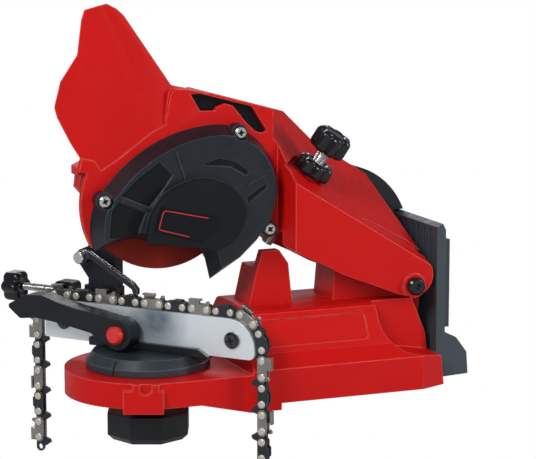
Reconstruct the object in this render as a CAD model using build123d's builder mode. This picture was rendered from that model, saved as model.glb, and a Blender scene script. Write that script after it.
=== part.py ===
from build123d import *
import math
import os

os.makedirs("parts", exist_ok=True)

# ---------------------------------------------------------------- driving dimensions, mm
# Frame: bench plane z = 0, origin at the centre of the four bench-bolt holes.
swivel_x = -115.0
hinge_x = 50.0
hinge_z = 61.5
wheel_x = -106.2
wheel_z = 128.3

run_gap = 0.05          # radial running clearance
part_gap = 0.3          # gap between separate bodies

# base
front_r = 51.0
base_half = 51.0
front_floor_z = 3.3
lip_floor_z = -4.2
lip_back_x = -47.4
lip_front_x = -67.0
front_step_x = -99.0
front_top_z = 18.8
ledge_z = 20.9
shoulder_z = 28.9
shoulder_half = 42.0
rim_z = 51.0
rim_half = 30.0
dish_z = 53.0
dish_half = 14.0
ramp_foot_x = -66.0
ramp_top_x = -58.0
base_rear_x = 65.0
lug_half = 15.0
lug_r = 14.0
lug_rear_x = hinge_x + 11.6
bolt_dx = 40.0
bolt_dy = 44.0
bolt_depth = 32.0
plate_mid_x = 7.0
plate_len = 100.0
plate_wide = 84.0
plate_t = 2.4
plate_screw_dx = 84.0
plate_screw_dy = 66.0
bolt_r = 4.2
bolt_boss_r = 7.0
lock_boss_r = 11.0
lock_boss_z = -1.3
pin_r = 4.0
# stop post
post_near_y = -13.0
post_far_y = 13.0
post_foot = (-53.5, -25.0)
post_shoulder = (-49.0, -27.7)
post_shoulder_z = 78.0
post_top = (-44.7, -33.7)
post_top_z = 86.6
post_wall_y = -6.0      # inner face of the tall near wall of the post
post_step_z = 75.8      # top of the lower part, under the depth screw
pad_t = 2.0
pad_x = -37.5
pad_y = 4.8

# arm and head
arm_half = 30.0
arm_wall = 5.5
arm_near_wall = 3.0
post_slot_half = 14.5
head_end_x = -46.0      # seam between the head and the arm
face_y = -9.0           # near face of the head
shell_y = -8.0          # near face of the tall shell
shell_depth = 24.0
bridge_far_y = 34.0
slot_half = 4.5         # half width of the wheel slot in the head
# grinding wheel
wheel_r = 50.0
wheel_t = 3.2
wheel_bore_r = 10.0
spindle_r = 5.0
spindle_far_y = 28.0
# wheel cover
cover_near_y = -21.0
boss_near_y = -28.0
cover_wall = 2.4
relief = 1.2
cover_screws = [(-147, 124), (-61, 161), (-42, 101)]
cover_screw_in = 5.0
window_depth = 5.0
window = [
    (-89.5, 184.5),
    (-83.6, 174.2),
    (-74, 173.8),
    (-72.5, 176),
    (-67.5, 178),
    (-62.5, 176.5),
    (-54, 166),
    (-48, 160.5),
    (-43.5, 159),
    (-40, 160),
    (-50, 175.5),
    (-83.5, 184.6),
    (-89.5, 184.5),
]

# power switch, on the far side of the bridge
switch_x = -58.0
switch_z = 152.0

# depth stop
screw_rise = 57.5       # angle from the horizontal, degrees
screw_turn = -34.0      # heading in plan, from +X towards the near side
screw_r = 4.0
tip_x = -35.2
tip_y = 4.4
tip_z = 88.8
knob_r = 12.0
nut_t = 51.25           # distance of the lock nut from the tip
nut_h = 10.0
knob_t = 68.25
knob_h = 14.0
pocket_gap = 2.5        # room round the knob in the arm
insert_r = 6.5
insert_len = 12.0

# swivel table and vise
rail_angle = -50.0      # direction of the rails, from +X
table_r = 38.0
table_rim_t = 4.4
table_t = 9.5
table_z = front_top_z + part_gap
table_top = table_z + table_t
rail_z0 = 30.0
bracket_half = 7.0
rail_z1 = 54.0
rail_s0 = -72.0
rail_s1 = 76.0
rail_t = 3.0
slot_w = 1.7
bolt8_r = 4.0
clamp_s = -10.0
clamp_z = 40.0
screw_s = (-58.0, 61.0)
screw_z = 41.0

# chain, .325 inch pitch
pitch = 8.255
strap_pitch = 9.8       # rivets of a side strap; drive links take the rest of two pitches
strap_shift = 4.4       # middle of the strap nearest the wheel, along the rails
drive_t = 1.5
strap_t = 1.4
link_gap = 0.05
strap_h = 3.1
rivet_r = 1.6
rivet_head_r = 2.3
rivet_line_z = rail_z1 + strap_h + 0.1


def save(part, name):
    part.label = name
    export_step(part, f"parts/{name}.step")


def rail_plane(s=0.0, n=0.0, z=0.0):
    """Plane across the vise: x runs along the rails, y up, normal towards the near side."""
    a = math.radians(rail_angle)
    d = Vector(math.cos(a), math.sin(a), 0)
    m = Vector(-math.sin(a), math.cos(a), 0)
    o = Vector(swivel_x, 0, z) + d * s + m * n
    return Plane(origin=o, x_dir=d, z_dir=-m)


rise, turn = math.radians(screw_rise), math.radians(screw_turn)
screw_dir = Vector(math.cos(rise) * math.cos(turn), math.cos(rise) * math.sin(turn), math.sin(rise))


def screw_plane(t):
    """Plane across the depth screw at the distance t above its tip, x level and to the far side."""
    o = Vector(tip_x, tip_y, tip_z) + screw_dir * t
    return Plane(origin=o, x_dir=Vector(-screw_dir.Y, screw_dir.X, 0), z_dir=screw_dir)


# ---------------------------------------------------------------- base
with BuildPart() as base_housing:
    # Low body: round front and the straight sides that run on from it.
    with BuildSketch(Plane.XY.offset(lip_floor_z)):
        with Locations((swivel_x, 0)):
            Circle(front_r)
        with Locations(((swivel_x + base_rear_x) / 2, 0)):
            Rectangle(base_rear_x - swivel_x, 2 * base_half)
    extrude(amount=front_top_z - lip_floor_z)
    # Upper body: tapered sides and a slightly crowned top.
    with BuildSketch(Plane.YZ.offset(ramp_foot_x)):
        with BuildLine():
            Polyline(
                (0, 0),
                (base_half, 0),
                (base_half, ledge_z),
                (shoulder_half, shoulder_z),
                (rim_half, rim_z),
                (rim_half - 3, rim_z + 1.3),
                (dish_half, dish_z),
                (0, dish_z),
                close=True,
            )
        make_face()
        mirror(about=Plane.YZ)
    extrude(amount=base_rear_x - ramp_foot_x)
    # Ramp at the front of the upper body.
    with BuildSketch(Plane.XZ):
        with BuildLine():
            Polyline(
                (ramp_foot_x - 2, front_top_z),
                (ramp_foot_x, front_top_z),
                (ramp_top_x, rim_z + 4),
                (ramp_foot_x - 2, rim_z + 4),
                close=True,
            )
        make_face()
    extrude(amount=base_half + 2, both=True, mode=Mode.SUBTRACT)
    # Underside: stepped front, lip against the bench edge, flat bench face.
    with BuildSketch(Plane.XZ):
        with BuildLine():
            Polyline(
                (swivel_x - front_r - 5, lip_floor_z - 5),
                (swivel_x - front_r - 5, front_floor_z),
                (front_step_x, front_floor_z),
                (lip_front_x, lip_floor_z),
                (lip_front_x, lip_floor_z - 5),
                close=True,
            )
        make_face()
        with BuildLine():
            Polyline(
                (lip_back_x, lip_floor_z - 5),
                (lip_back_x, 0),
                (base_rear_x + 5, 0),
                (base_rear_x + 5, lip_floor_z - 5),
                close=True,
            )
        make_face()
    extrude(amount=base_half + 5, both=True, mode=Mode.SUBTRACT)
    # Leaning rear end and the scoops beside the hinge.
    with BuildSketch(Plane.XZ):
        with BuildLine():
            Polyline(
                (52, rim_z + 5),
                (52, rim_z),
                (61, 30),
                (base_rear_x, 0),
                (base_rear_x + 5, 0),
                (base_rear_x + 5, rim_z + 5),
                close=True,
            )
        make_face()
    extrude(amount=base_half + 5, both=True, mode=Mode.SUBTRACT)
    for side in (-1, 1):
        with BuildSketch(Plane.XZ.offset(-side * 24.0)):
            with BuildLine():
                Line((23, rim_z + 5), (24, 46))
                ThreePointArc((24, 46), (29, 30), (45, ledge_z + 1))
                Polyline((45, ledge_z + 1), (80, ledge_z - 5), (80, rim_z + 5), (23, rim_z + 5))
            make_face()
        extrude(amount=-side * 30, mode=Mode.SUBTRACT)
        # Rear corners cut at an angle.
        with BuildSketch(Plane.XY.offset(-2)):
            with BuildLine():
                Polyline(
                    (45, side * (base_half + 1)),
                    (base_rear_x + 1, side * 43.0),
                    (base_rear_x + 1, side * (base_half + 1)),
                    close=True,
                )
            make_face()
        extrude(amount=rim_z, mode=Mode.SUBTRACT)
    # Rear ledge below the hinge lug.
    with BuildSketch(Plane.XZ.offset(lug_half)):
        Polygon(
            (hinge_x - 10, dish_z),
            (lug_rear_x, dish_z),
            (lug_rear_x - 1.6, dish_z - 13),
            (hinge_x + 5, dish_z - 20),
            (hinge_x - 10, dish_z - 20),
            align=None,
        )
    extrude(amount=-2 * lug_half)
    # Boss above the lock knob.
    with BuildSketch(Plane.XY.offset(lock_boss_z)):
        with Locations((swivel_x, 0)):
            Circle(lock_boss_r)
    extrude(amount=front_floor_z - lock_boss_z + 1)
    # Bores of the swivel bolt and the bench bolts.
    with BuildSketch(Plane.XY.offset(-10)):
        with Locations((swivel_x, 0)):
            Circle(bolt8_r + run_gap)
    extrude(amount=80, mode=Mode.SUBTRACT)
    with BuildSketch(Plane.XY):
        with GridLocations(bolt_dx, bolt_dy, 2, 2):
            Circle(bolt_r)
    extrude(amount=bolt_depth, mode=Mode.SUBTRACT)
    # Seat of the bottom plate, round the bosses of the bench bolts, and the threads of its screws.
    with BuildSketch(Plane.XY):
        with Locations((plate_mid_x, 0)):
            Rectangle(plate_len + 2 * part_gap, plate_wide + 2 * part_gap)
        with GridLocations(bolt_dx, bolt_dy, 2, 2):
            Circle(bolt_boss_r, mode=Mode.SUBTRACT)
    extrude(amount=plate_t, mode=Mode.SUBTRACT)
    with BuildSketch(Plane.XY):
        with Locations((plate_mid_x, 0)):
            with GridLocations(plate_screw_dx, plate_screw_dy, 2, 2):
                Circle(1.8)
    extrude(amount=12, mode=Mode.SUBTRACT)
    # Shallow panels on the sloping sides.
    for side in (-1, 1):
        slope = math.atan2(shoulder_half - rim_half, rim_z - shoulder_z)
        panel_plane = Plane(
            origin=(-21, side * (shoulder_half + rim_half) / 2, (shoulder_z + rim_z) / 2),
            x_dir=(1, 0, 0),
            z_dir=(0, side * math.cos(slope), math.sin(slope)),
        )
        with BuildSketch(panel_plane):
            RectangleRounded(72, 17, 3)
        extrude(amount=-1.0, mode=Mode.SUBTRACT)
    # Index block with its notch on the round front.
    index_dir = 248.0
    ci, si = math.cos(math.radians(index_dir)), math.sin(math.radians(index_dir))
    index_plane = Plane(
        origin=(swivel_x + ci * front_r, si * front_r, front_floor_z),
        x_dir=(-si, ci, 0),
        z_dir=(ci, si, 0),
    )
    with BuildSketch(index_plane.offset(2.2)):
        with Locations((0, 4.5)):
            Rectangle(24, 14)
        with Locations((1.5, 13)):
            Rectangle(15.5, 5)
        with Locations((1.5, 15)):
            SlotOverall(12, 7, rotation=90, mode=Mode.SUBTRACT)
    extrude(amount=-6)
save(base_housing.part, "base_housing")

with BuildPart() as hinge_lug:
    with BuildSketch(Plane.XZ.offset(lug_half)):
        with BuildLine():
            Polyline(
                (1.4, dish_z),
                (3, 72),
                (24, 74),
                (hinge_x - 4, hinge_z + lug_r),
                (hinge_x + 8, hinge_z + lug_r - 4),
                (hinge_x + lug_r, hinge_z),
                (lug_rear_x, dish_z),
                close=True,
            )
        make_face()
        with Locations((hinge_x, hinge_z)):
            Circle(pin_r + run_gap, mode=Mode.SUBTRACT)
    extrude(amount=-2 * lug_half)
save(hinge_lug.part, "hinge_lug")

with BuildPart() as stop_post:
    # Tall wall on the near side, lower step behind it.
    with BuildSketch(Plane.XZ.offset(-post_near_y)):
        with BuildLine():
            Polyline(
                (post_foot[0], dish_z),
                (post_shoulder[0], post_shoulder_z - 5),
                (post_top[0], post_top_z),
                (post_top[1], post_top_z),
                (post_shoulder[1], post_shoulder_z),
                (post_foot[1], dish_z),
                close=True,
            )
        make_face()
    extrude(amount=post_near_y - post_far_y)
    with BuildSketch(Plane.XZ.offset(-post_wall_y)):
        with Locations((pad_x, post_step_z + 10)):
            Rectangle(40, 20)
    extrude(amount=post_wall_y - post_far_y, mode=Mode.SUBTRACT)
    # Seat of the steel pad.
    with BuildSketch(Plane.XY.offset(post_step_z)):
        with Locations((pad_x, pad_y)):
            Rectangle(10, 8)
    extrude(amount=-pad_t, mode=Mode.SUBTRACT)
save(stop_post.part, "stop_post")

with BuildPart() as stop_pad:
    with BuildSketch(Plane.XY.offset(post_step_z - pad_t)):
        with Locations((pad_x, pad_y)):
            Rectangle(10 - 0.1, 8 - 0.1)
    extrude(amount=pad_t)
save(stop_pad.part, "stop_pad")

with BuildPart() as bottom_plate:
    with BuildSketch(Plane.XY.offset(0.3)):
        with Locations((plate_mid_x, 0)):
            Rectangle(plate_len, plate_wide)
            with GridLocations(plate_screw_dx, plate_screw_dy, 2, 2):
                Circle(3.4, mode=Mode.SUBTRACT)
        with GridLocations(bolt_dx, bolt_dy, 2, 2):
            Circle(bolt_boss_r + part_gap, mode=Mode.SUBTRACT)
    extrude(amount=plate_t - 0.3)
save(bottom_plate.part, "bottom_plate")

with BuildPart() as bottom_screws:
    with BuildSketch(Plane.XY.offset(0.5)):
        with Locations((plate_mid_x, 0)):
            with GridLocations(plate_screw_dx, plate_screw_dy, 2, 2):
                Circle(3.3)
    extrude(amount=plate_t - 0.5)
    with BuildSketch(Plane.XY.offset(plate_t)):
        with Locations((plate_mid_x, 0)):
            with GridLocations(plate_screw_dx, plate_screw_dy, 2, 2):
                Circle(1.75)
    extrude(amount=8)
    with BuildSketch(Plane.XY.offset(0.5)):
        with Locations((plate_mid_x, 0)):
            with GridLocations(plate_screw_dx, plate_screw_dy, 2, 2):
                Rectangle(3.6, 0.8)
                Rectangle(0.8, 3.6)
    extrude(amount=1.0, mode=Mode.SUBTRACT)
save(bottom_screws.part, "bottom_screws")

# ---------------------------------------------------------------- battery mount
mount_x0 = base_rear_x + 1.0
mount_x1 = 72.0
mount_near_y = -30.0
mount_far_y = 45.0
mount_top_z = 99.0
foot_x = 87.5
with BuildPart() as battery_mount:
    with BuildSketch(Plane.XZ.offset(-mount_near_y)):
        with BuildLine():
            Polyline(
                (mount_x0, 1.0),
                (mount_x0, mount_top_z - 2),
                (mount_x1 - 2, mount_top_z),
                (mount_x1, mount_top_z - 4),
                (mount_x1, 30),
                (mount_x1 + 8, 26),
                (foot_x, 16),
                (foot_x + 1, 2),
                close=True,
            )
        make_face()
    extrude(amount=mount_near_y - mount_far_y)
    # Two undercut rails that hold the battery.
    for side in (-1, 1):
        yc = (mount_near_y + mount_far_y) / 2 + side * 30
        with BuildSketch(Plane.XY.offset(32)):
            with Locations((mount_x1 + 1.5, yc)):
                Rectangle(5, 4)
            with Locations((mount_x1 + 4, yc - side * 2.5)):
                Rectangle(3, 9)
        extrude(amount=56)
    # Seat of the terminal block.
    with BuildSketch(Plane.YZ.offset(mount_x1 + 1)):
        with Locations(((mount_near_y + mount_far_y) / 2, 66)):
            Rectangle(30, 30)
    extrude(amount=-5, mode=Mode.SUBTRACT)
    # Ribs of the front face.
    for k in range(7):
        with BuildSketch(Plane.YZ.offset(mount_x0 + 1.5)):
            with Locations((mount_near_y + 10 + k * 9.0, 82)):
                Rectangle(3.0, 26)
        extrude(amount=-4, mode=Mode.SUBTRACT)
save(battery_mount.part, "battery_mount")

with BuildPart() as terminal_block:
    with BuildSketch(Plane.YZ.offset(mount_x1 - 4)):
        with Locations(((mount_near_y + mount_far_y) / 2, 66)):
            Rectangle(29.6, 29.6)
    extrude(amount=6)
    with BuildSketch(Plane.YZ.offset(mount_x1 + 2)):
        with Locations(((mount_near_y + mount_far_y) / 2, 66)):
            with GridLocations(9, 1, 3, 1):
                Rectangle(1.2, 22)
    extrude(amount=-5, mode=Mode.SUBTRACT)
save(terminal_block.part, "terminal_block")

with BuildPart() as terminal_blades:
    with BuildSketch(Plane.YZ.offset(mount_x1 - 2.9)):
        with Locations(((mount_near_y + mount_far_y) / 2, 66)):
            with GridLocations(9, 1, 3, 1):
                Rectangle(0.8, 20)
    extrude(amount=7.5)
save(terminal_blades.part, "terminal_blades")

# ---------------------------------------------------------------- far side housing
house_y0 = arm_half + 1.5
house_y1 = 45.0
pin_in_house = 7.0
house_screws = [(24, 62), (26, 96), (56, 92)]
with BuildPart() as side_housing:
    with BuildSketch(Plane.XZ.offset(-house_y0)):
        with BuildLine():
            Line((18, rim_z + 3), (18, 104))
            Line((18, 104), (38, 129))
            ThreePointArc((38, 129), (59.3, 117.4), (71.5, 99.5))
            Polyline((71.5, 99.5), (64.8, 99.3), (64.8, 33), (59, 33), (50.5, rim_z + 3), (18, rim_z + 3))
        make_face()
    extrude(amount=house_y0 - house_y1)
    with BuildSketch(Plane.XZ.offset(-house_y0)):
        with Locations((hinge_x, hinge_z)):
            Circle(pin_r + run_gap)
    extrude(amount=-pin_in_house, mode=Mode.SUBTRACT)
    with BuildSketch(Plane.XZ.offset(-house_y1)):
        with Locations(*house_screws):
            Circle(3.6)
    extrude(amount=3, mode=Mode.SUBTRACT)
save(side_housing.part, "side_housing")

with BuildPart() as side_housing_screws:
    with BuildSketch(Plane.XZ.offset(-house_y1 + 3)):
        with Locations(*house_screws):
            Circle(3.5)
            RegularPolygon(1.6, 6, mode=Mode.SUBTRACT)
    extrude(amount=-2.4)
save(side_housing_screws.part, "side_housing_screws")

# ---------------------------------------------------------------- hinge pin
pin_near_y = -arm_half - 2.0
with BuildPart() as hinge_pin:
    with BuildSketch(Plane.XZ.offset(-pin_near_y)):
        with Locations((hinge_x, hinge_z)):
            Circle(pin_r)
    extrude(amount=pin_near_y - house_y0 - pin_in_house + 0.3)
save(hinge_pin.part, "hinge_pin")

with BuildPart() as hinge_pin_head:
    with BuildSketch(Plane.XZ.offset(-pin_near_y)):
        with Locations((hinge_x, hinge_z)):
            Circle(5.6)
    extrude(amount=4)
    chamfer(faces().sort_by(Axis.Y)[0].edges(), 1.2)
    with BuildSketch(Plane.XZ.offset(-pin_near_y + 4)):
        with Locations((hinge_x, hinge_z)):
            RegularPolygon(2.0, 6)
    extrude(amount=-2, mode=Mode.SUBTRACT)
save(hinge_pin_head.part, "hinge_pin_head")

# ---------------------------------------------------------------- arm housing
# Arm block: side profile, then the two long upper edges cut back by leaning planes.
crease_front = Vector(-29.7, -arm_half, 130.3)
crease_rear = Vector(58.3, -arm_half, 75.7)
roof_far = Vector(43.5, arm_half, 124.4)
facet_far = Vector(6.1, arm_half, 147.7)
facet_end = Vector(-13.6, arm_half, 167)
roof_normal = (crease_rear - crease_front).cross(roof_far - crease_front)
facet_normal = (facet_far - crease_front).cross(facet_end - crease_front)
with BuildPart() as above_roof:
    # The room above both upper planes of the arm.
    with BuildSketch(Plane.XY.offset(60)):
        with Locations((22, 0)):
            Rectangle(116, 120)
    extrude(amount=160)
    split(bisect_by=Plane(origin=crease_front, x_dir=crease_rear - crease_front, z_dir=roof_normal), keep=Keep.TOP)
    split(bisect_by=Plane(origin=crease_front, x_dir=facet_far - crease_front, z_dir=facet_normal), keep=Keep.TOP)

with BuildPart() as arm_block:
    with BuildSketch(Plane.XZ.offset(arm_half)):
        with BuildLine():
            Polyline(
                (-45, 101),
                (-45, 175.8),
                (-24, 170),
                (-13.6, 167),
                (-5.4, 162.9),
                (0.1, 155.6),
                (6.1, 147.7),
                (43.5, 124.4),
                (60, 76),
            )
            ThreePointArc((60, 76), (63.4, 66.5), (57.2, 56.5))
            Polyline((57.2, 56.5), (48, 54.5), (41, 56), (21, 64), (3, 71), (-10, 78), (-27, 86), (-45, 101))
        make_face()
    extrude(amount=-2 * arm_half)
    # Slanted wall beside the wheel cover.
    with BuildSketch(Plane.XY.offset(60)):
        Polygon((-50, -31), (-50, face_y), (-33.1, face_y), (-29.5, -31), align=None)
    extrude(amount=120, mode=Mode.SUBTRACT)

ridge_top = Vector(-141, shell_y, 226)
ridge_foot = Vector(-110, shell_y, 168)
right_edge = Vector(-99.3, -4.5, 190.6)
with BuildPart() as head_shell:
    # Tall shell over the wheel, narrowing away from its near face.
    with BuildSketch(Plane.XZ.offset(-shell_y)):
        with BuildLine():
            Polyline(
                (-157.1, 230.7),
                (-155.1, 236.5),
                (-141, 240.2),
                (-131.7, 236.4),
                (-99.3, 190.6),
                (-84, 187),
                (-84, 150),
                (-110, 140),
                (-141, 131),
                (-153.5, 140.2),
                (-164.9, 158.6),
                (-172.6, 173.7),
                (-174.3, 180),
                (-170.4, 194.9),
                (-159.8, 210.3),
                close=True,
            )
        make_face()
        fillet(vertices().group_by(Axis.X)[0:4], 4)
    extrude(amount=-shell_depth, taper=20)
    # Fold: the right flank falls back from the ridge.
    ridge = ridge_foot - ridge_top
    facet = ridge.cross(right_edge - ridge_top)
    split(bisect_by=Plane(origin=ridge_top, x_dir=ridge, z_dir=facet), keep=Keep.BOTTOM)

with BuildPart() as head_block:
    # Flange band round the wheel cover.
    with BuildSketch(Plane.XZ.offset(-face_y)):
        with BuildLine():
            Polyline((-105, 170), (-101.5, 188), (-92, 187.5), (-70, 183), (-70, 100), (-95, 112), (-150, 122))
            Polyline((-150, 122), (-156, 129), (-155, 137), (-147, 140.5))
            Polyline((-147, 140.5), (-135.7, 147.1), (-115.5, 161.7), (-105, 167), (-105, 170))
        make_face()
    extrude(amount=face_y - shell_y - shell_depth)
    # Bridge from the shell to the arm.
    with BuildSketch(Plane.XZ.offset(-face_y)):
        with BuildLine():
            Polyline((-78, 185), (-24, 170), (-24, 150), (-34, 112), (-50, 98), (-72, 100), (-78, 112), (-78, 185))
        make_face()
    extrude(amount=face_y - bridge_far_y)

with BuildPart() as upper_shell:
    add(head_shell.part)
    add(head_block.part)
    add(arm_block.part)
    add(above_roof.part, mode=Mode.SUBTRACT)
    # The near shell stops above the wheel cover's edge.
    with BuildSketch(Plane.XZ.offset(-face_y)):
        with BuildLine():
            ThreePointArc((-149, 118), (-124, 146), (-80, 160))
            ThreePointArc((-80, 160), (-47, 148), (-38, 120))
            Polyline((-38, 120), (-38, 60), (-149, 60), (-149, 118))
        make_face()
    extrude(amount=face_y + slot_half, mode=Mode.SUBTRACT)
    # Room for the wheel.
    with BuildSketch(Plane.XZ.offset(slot_half)):
        with Locations((wheel_x, wheel_z)):
            Circle(wheel_r + 2.5)
    extrude(amount=-2 * slot_half, mode=Mode.SUBTRACT)
    # Back plate of the wheel guard, and its front lip ahead of the wheel.
    with BuildSketch(Plane.XZ.offset(-slot_half)):
        with BuildLine():
            ThreePointArc((-148, 93), (-154.5, 117), (-151.6, 138))
            Polyline((-151.6, 138), (-60, 142), (-50, 90), (-72, 76), (-84, 96), (-130, 99), (-148, 93))
        make_face()
    extrude(amount=-3)
    with BuildSketch(Plane.XZ.offset(-face_y)):
        with BuildLine():
            ThreePointArc((-152.6, 95.1), (-159, 119.6), (-155, 140))
            Polyline((-155, 140), (-160, 141), (-158, 149), (-150, 147), (-143, 136), (-150, 120))
            Polyline((-150, 120), (-150.6, 100), (-152.6, 95.1))
        make_face()
    extrude(amount=face_y + slot_half)
    with BuildSketch(Plane.XZ.offset(-slot_half)):
        with BuildLine():
            Polyline((-157, 137), (-157, 142), (-140, 150), (-140, 136), (-157, 137))
        make_face()
    extrude(amount=-2 * slot_half - 3)
    # Bearing seat of the spindle.
    with BuildSketch(Plane.XZ.offset(-slot_half)):
        with Locations((wheel_x, wheel_z)):
            Circle(spindle_r + run_gap)
    extrude(amount=-60, mode=Mode.SUBTRACT)
    # Hollow underside of the arm, and the narrower hollow ahead of it.
    with BuildSketch(Plane.XZ.offset(arm_half - arm_wall)):
        with BuildLine():
            Polyline((-16, 60), (-16, 110), (-10, 112), (20, 104), (50, 88), (62, 78), (72, 50), (30, 40), close=True)
        make_face()
    extrude(amount=-2 * (arm_half - arm_wall), mode=Mode.SUBTRACT)
    with BuildSketch(Plane.XZ.offset(-face_y - arm_near_wall)):
        with BuildLine():
            Polyline((-47, 60), (-47, 106), (-15, 110), (-15, 60), close=True)
        make_face()
    extrude(amount=face_y + arm_near_wall - arm_half + arm_wall, mode=Mode.SUBTRACT)
    # Slot that lets the stop post in as the arm comes down.
    with BuildSketch(Plane.XZ.offset(post_slot_half)):
        Polygon((-52, 70), (-52, 97.7), (-29.5, 97.7), (-24.6, 86), (-24, 70), align=None)
    extrude(amount=-2 * post_slot_half, mode=Mode.SUBTRACT)
    # Window of the head, and the threads of the cover screws.
    with BuildSketch(Plane.XZ.offset(-face_y)):
        with BuildLine():
            Polyline(*window)
        make_face()
    extrude(amount=-window_depth, mode=Mode.SUBTRACT)
    with BuildSketch(Plane.XZ.offset(-face_y)):
        with Locations(*cover_screws):
            Circle(1.85)
    extrude(amount=-cover_screw_in - 0.5, mode=Mode.SUBTRACT)
    # Ring round the head of the hinge pin.
    with BuildSketch(Plane.XZ.offset(arm_half)):
        with Locations((hinge_x, hinge_z)):
            Circle(7.5)
    extrude(amount=-pin_near_y - arm_half - 0.2)
    # Thread bore of the depth screw and the spot face of its lock nut.
    with BuildSketch(screw_plane(0)):
        Circle(screw_r + 0.4)
    extrude(amount=nut_t + 5, mode=Mode.SUBTRACT)
    with BuildSketch(screw_plane(nut_t - insert_len)):
        Circle(insert_r)
    extrude(amount=insert_len, mode=Mode.SUBTRACT)
    with BuildSketch(screw_plane(nut_t - 0.3)):
        Circle(knob_r + pocket_gap)
        with Locations((-25, 0)):
            Rectangle(50, 2 * (knob_r + pocket_gap))
    extrude(amount=60, mode=Mode.SUBTRACT)
    # Well of the power switch.
    with BuildSketch(Plane.XZ.offset(-bridge_far_y)):
        with Locations((switch_x, switch_z)):
            Rectangle(13.4, 21.4)
    extrude(amount=4, mode=Mode.SUBTRACT)
    # Pin bore.
    with BuildSketch(Plane.XZ.offset(60)):
        with Locations((hinge_x, hinge_z)):
            Circle(pin_r + run_gap)
    extrude(amount=-120, mode=Mode.SUBTRACT)

with BuildPart() as arm_housing:
    add(upper_shell.part)
    split(bisect_by=Plane.YZ.offset(head_end_x), keep=Keep.TOP)
save(arm_housing.part, "arm_housing")
with BuildPart() as head_housing:
    add(upper_shell.part)
    split(bisect_by=Plane.YZ.offset(head_end_x), keep=Keep.BOTTOM)
save(head_housing.part, "head_housing")

# ---------------------------------------------------------------- wheel
with BuildPart() as grinding_wheel:
    with BuildSketch(Plane.XZ.offset(wheel_t / 2)):
        with Locations((wheel_x, wheel_z)):
            Circle(wheel_r)
            Circle(wheel_bore_r, mode=Mode.SUBTRACT)
    extrude(amount=-wheel_t)
save(grinding_wheel.part, "grinding_wheel")

with BuildPart() as spindle:
    with BuildSketch(Plane.XZ.offset(12)):
        with Locations((wheel_x, wheel_z)):
            Circle(spindle_r)
    extrude(amount=-spindle_far_y - 12)
    with BuildSketch(Plane.XZ.offset(wheel_t / 2)):
        with Locations((wheel_x, wheel_z)):
            Circle(wheel_bore_r - run_gap)
    extrude(amount=-wheel_t)
    with BuildSketch(Plane.XZ.offset(-wheel_t / 2)):
        with Locations((wheel_x, wheel_z)):
            Circle(20)
    extrude(amount=-2.4)
save(spindle.part, "spindle")

with BuildPart() as outer_flange:
    with BuildSketch(Plane.XZ.offset(wheel_t / 2)):
        with Locations((wheel_x, wheel_z)):
            Circle(20)
            Circle(spindle_r + run_gap, mode=Mode.SUBTRACT)
    extrude(amount=2.8)
save(outer_flange.part, "outer_flange")

with BuildPart() as spindle_nut:
    with BuildSketch(Plane.XZ.offset(wheel_t / 2 + 2.8)):
        with Locations((wheel_x, wheel_z)):
            RegularPolygon(8.5, 6, major_radius=False)
            Circle(spindle_r + run_gap, mode=Mode.SUBTRACT)
    extrude(amount=6)
save(spindle_nut.part, "spindle_nut")

# ---------------------------------------------------------------- wheel cover
with BuildPart() as cover_boss:
    with BuildSketch(Plane.XZ.offset(-cover_near_y - 1)):
        with BuildLine():
            ThreePointArc((-123, 98.5), (-116, 122), (-97, 133.5))
            ThreePointArc((-97, 133.5), (-74, 132), (-61, 116))
            ThreePointArc((-61, 116), (-65, 102), (-80, 92))
            Polyline((-80, 92), (-123, 98.5))
        make_face()
    extrude(amount=cover_near_y - boss_near_y + 1)

with BuildPart() as wheel_cover:
    with BuildSketch(Plane.XZ.offset(-face_y)) :
        with BuildLine():
            ThreePointArc((-151, 93), (-153.5, 112), (-142, 133))
            ThreePointArc((-142, 133), (-114, 155.5), (-78, 165.5))
            ThreePointArc((-78, 165.5), (-42, 150), (-34, 117))
            Polyline((-34, 117), (-38, 105), (-47, 93), (-58, 83), (-78, 71), (-82, 88), (-84, 90))
            Polyline((-84, 90), (-126, 99), (-132, 99), (-151, 93))
        make_face()
    extrude(amount=cover_near_y * -1 + face_y, taper=24)
    with BuildSketch(Plane.XZ.offset(-face_y)):
        with Locations(*cover_screws):
            Circle(5.2)
    extrude(amount=8)
    add(cover_boss.part)
    # Hollow behind the front wall.
    with BuildSketch(Plane.XZ.offset(-face_y)):
        with BuildLine():
            ThreePointArc((-144, 100), (-144, 114), (-136, 129))
            ThreePointArc((-136, 129), (-112, 148), (-78, 158))
            ThreePointArc((-78, 158), (-50, 144), (-42, 117))
            Polyline((-42, 117), (-46, 106), (-60, 94), (-80, 99), (-124, 105), (-144, 100))
        make_face()
    extrude(amount=-cover_near_y + face_y - cover_wall, mode=Mode.SUBTRACT, taper=10)
    with BuildSketch(Plane.XZ.offset(-face_y)):
        with Locations(*cover_screws):
            Circle(1.9)
    extrude(amount=20, both=True, mode=Mode.SUBTRACT)
    with BuildSketch(Plane.XZ.offset(-face_y + 8)):
        with Locations(*cover_screws):
            Circle(4.6)
    extrude(amount=20, mode=Mode.SUBTRACT)
    # Relief of the front: two fan-shaped pockets, an arc pocket and a bar beside the boss.
    with BuildSketch(Plane.XZ.offset(-cover_near_y)):
        Polygon((-138, 127), (-126, 138), (-113.5, 146.5), (-105, 138), (-112, 128.4), (-120, 119), align=None)
        Polygon((-144, 118), (-139.6, 124), (-122, 116.4), (-126, 107), (-127.5, 101), (-145.5, 101.5), align=None)
        Polygon((-87, 143), (-76, 146.8), (-64.5, 143.8), (-56, 137), (-58.5, 135), (-68.4, 140.9), align=None)
        Polygon((-58, 122), (-45, 130), (-45.5, 126), (-57.4, 117.8), align=None)
    extrude(amount=-relief, mode=Mode.SUBTRACT)
save(wheel_cover.part, "wheel_cover")

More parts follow.
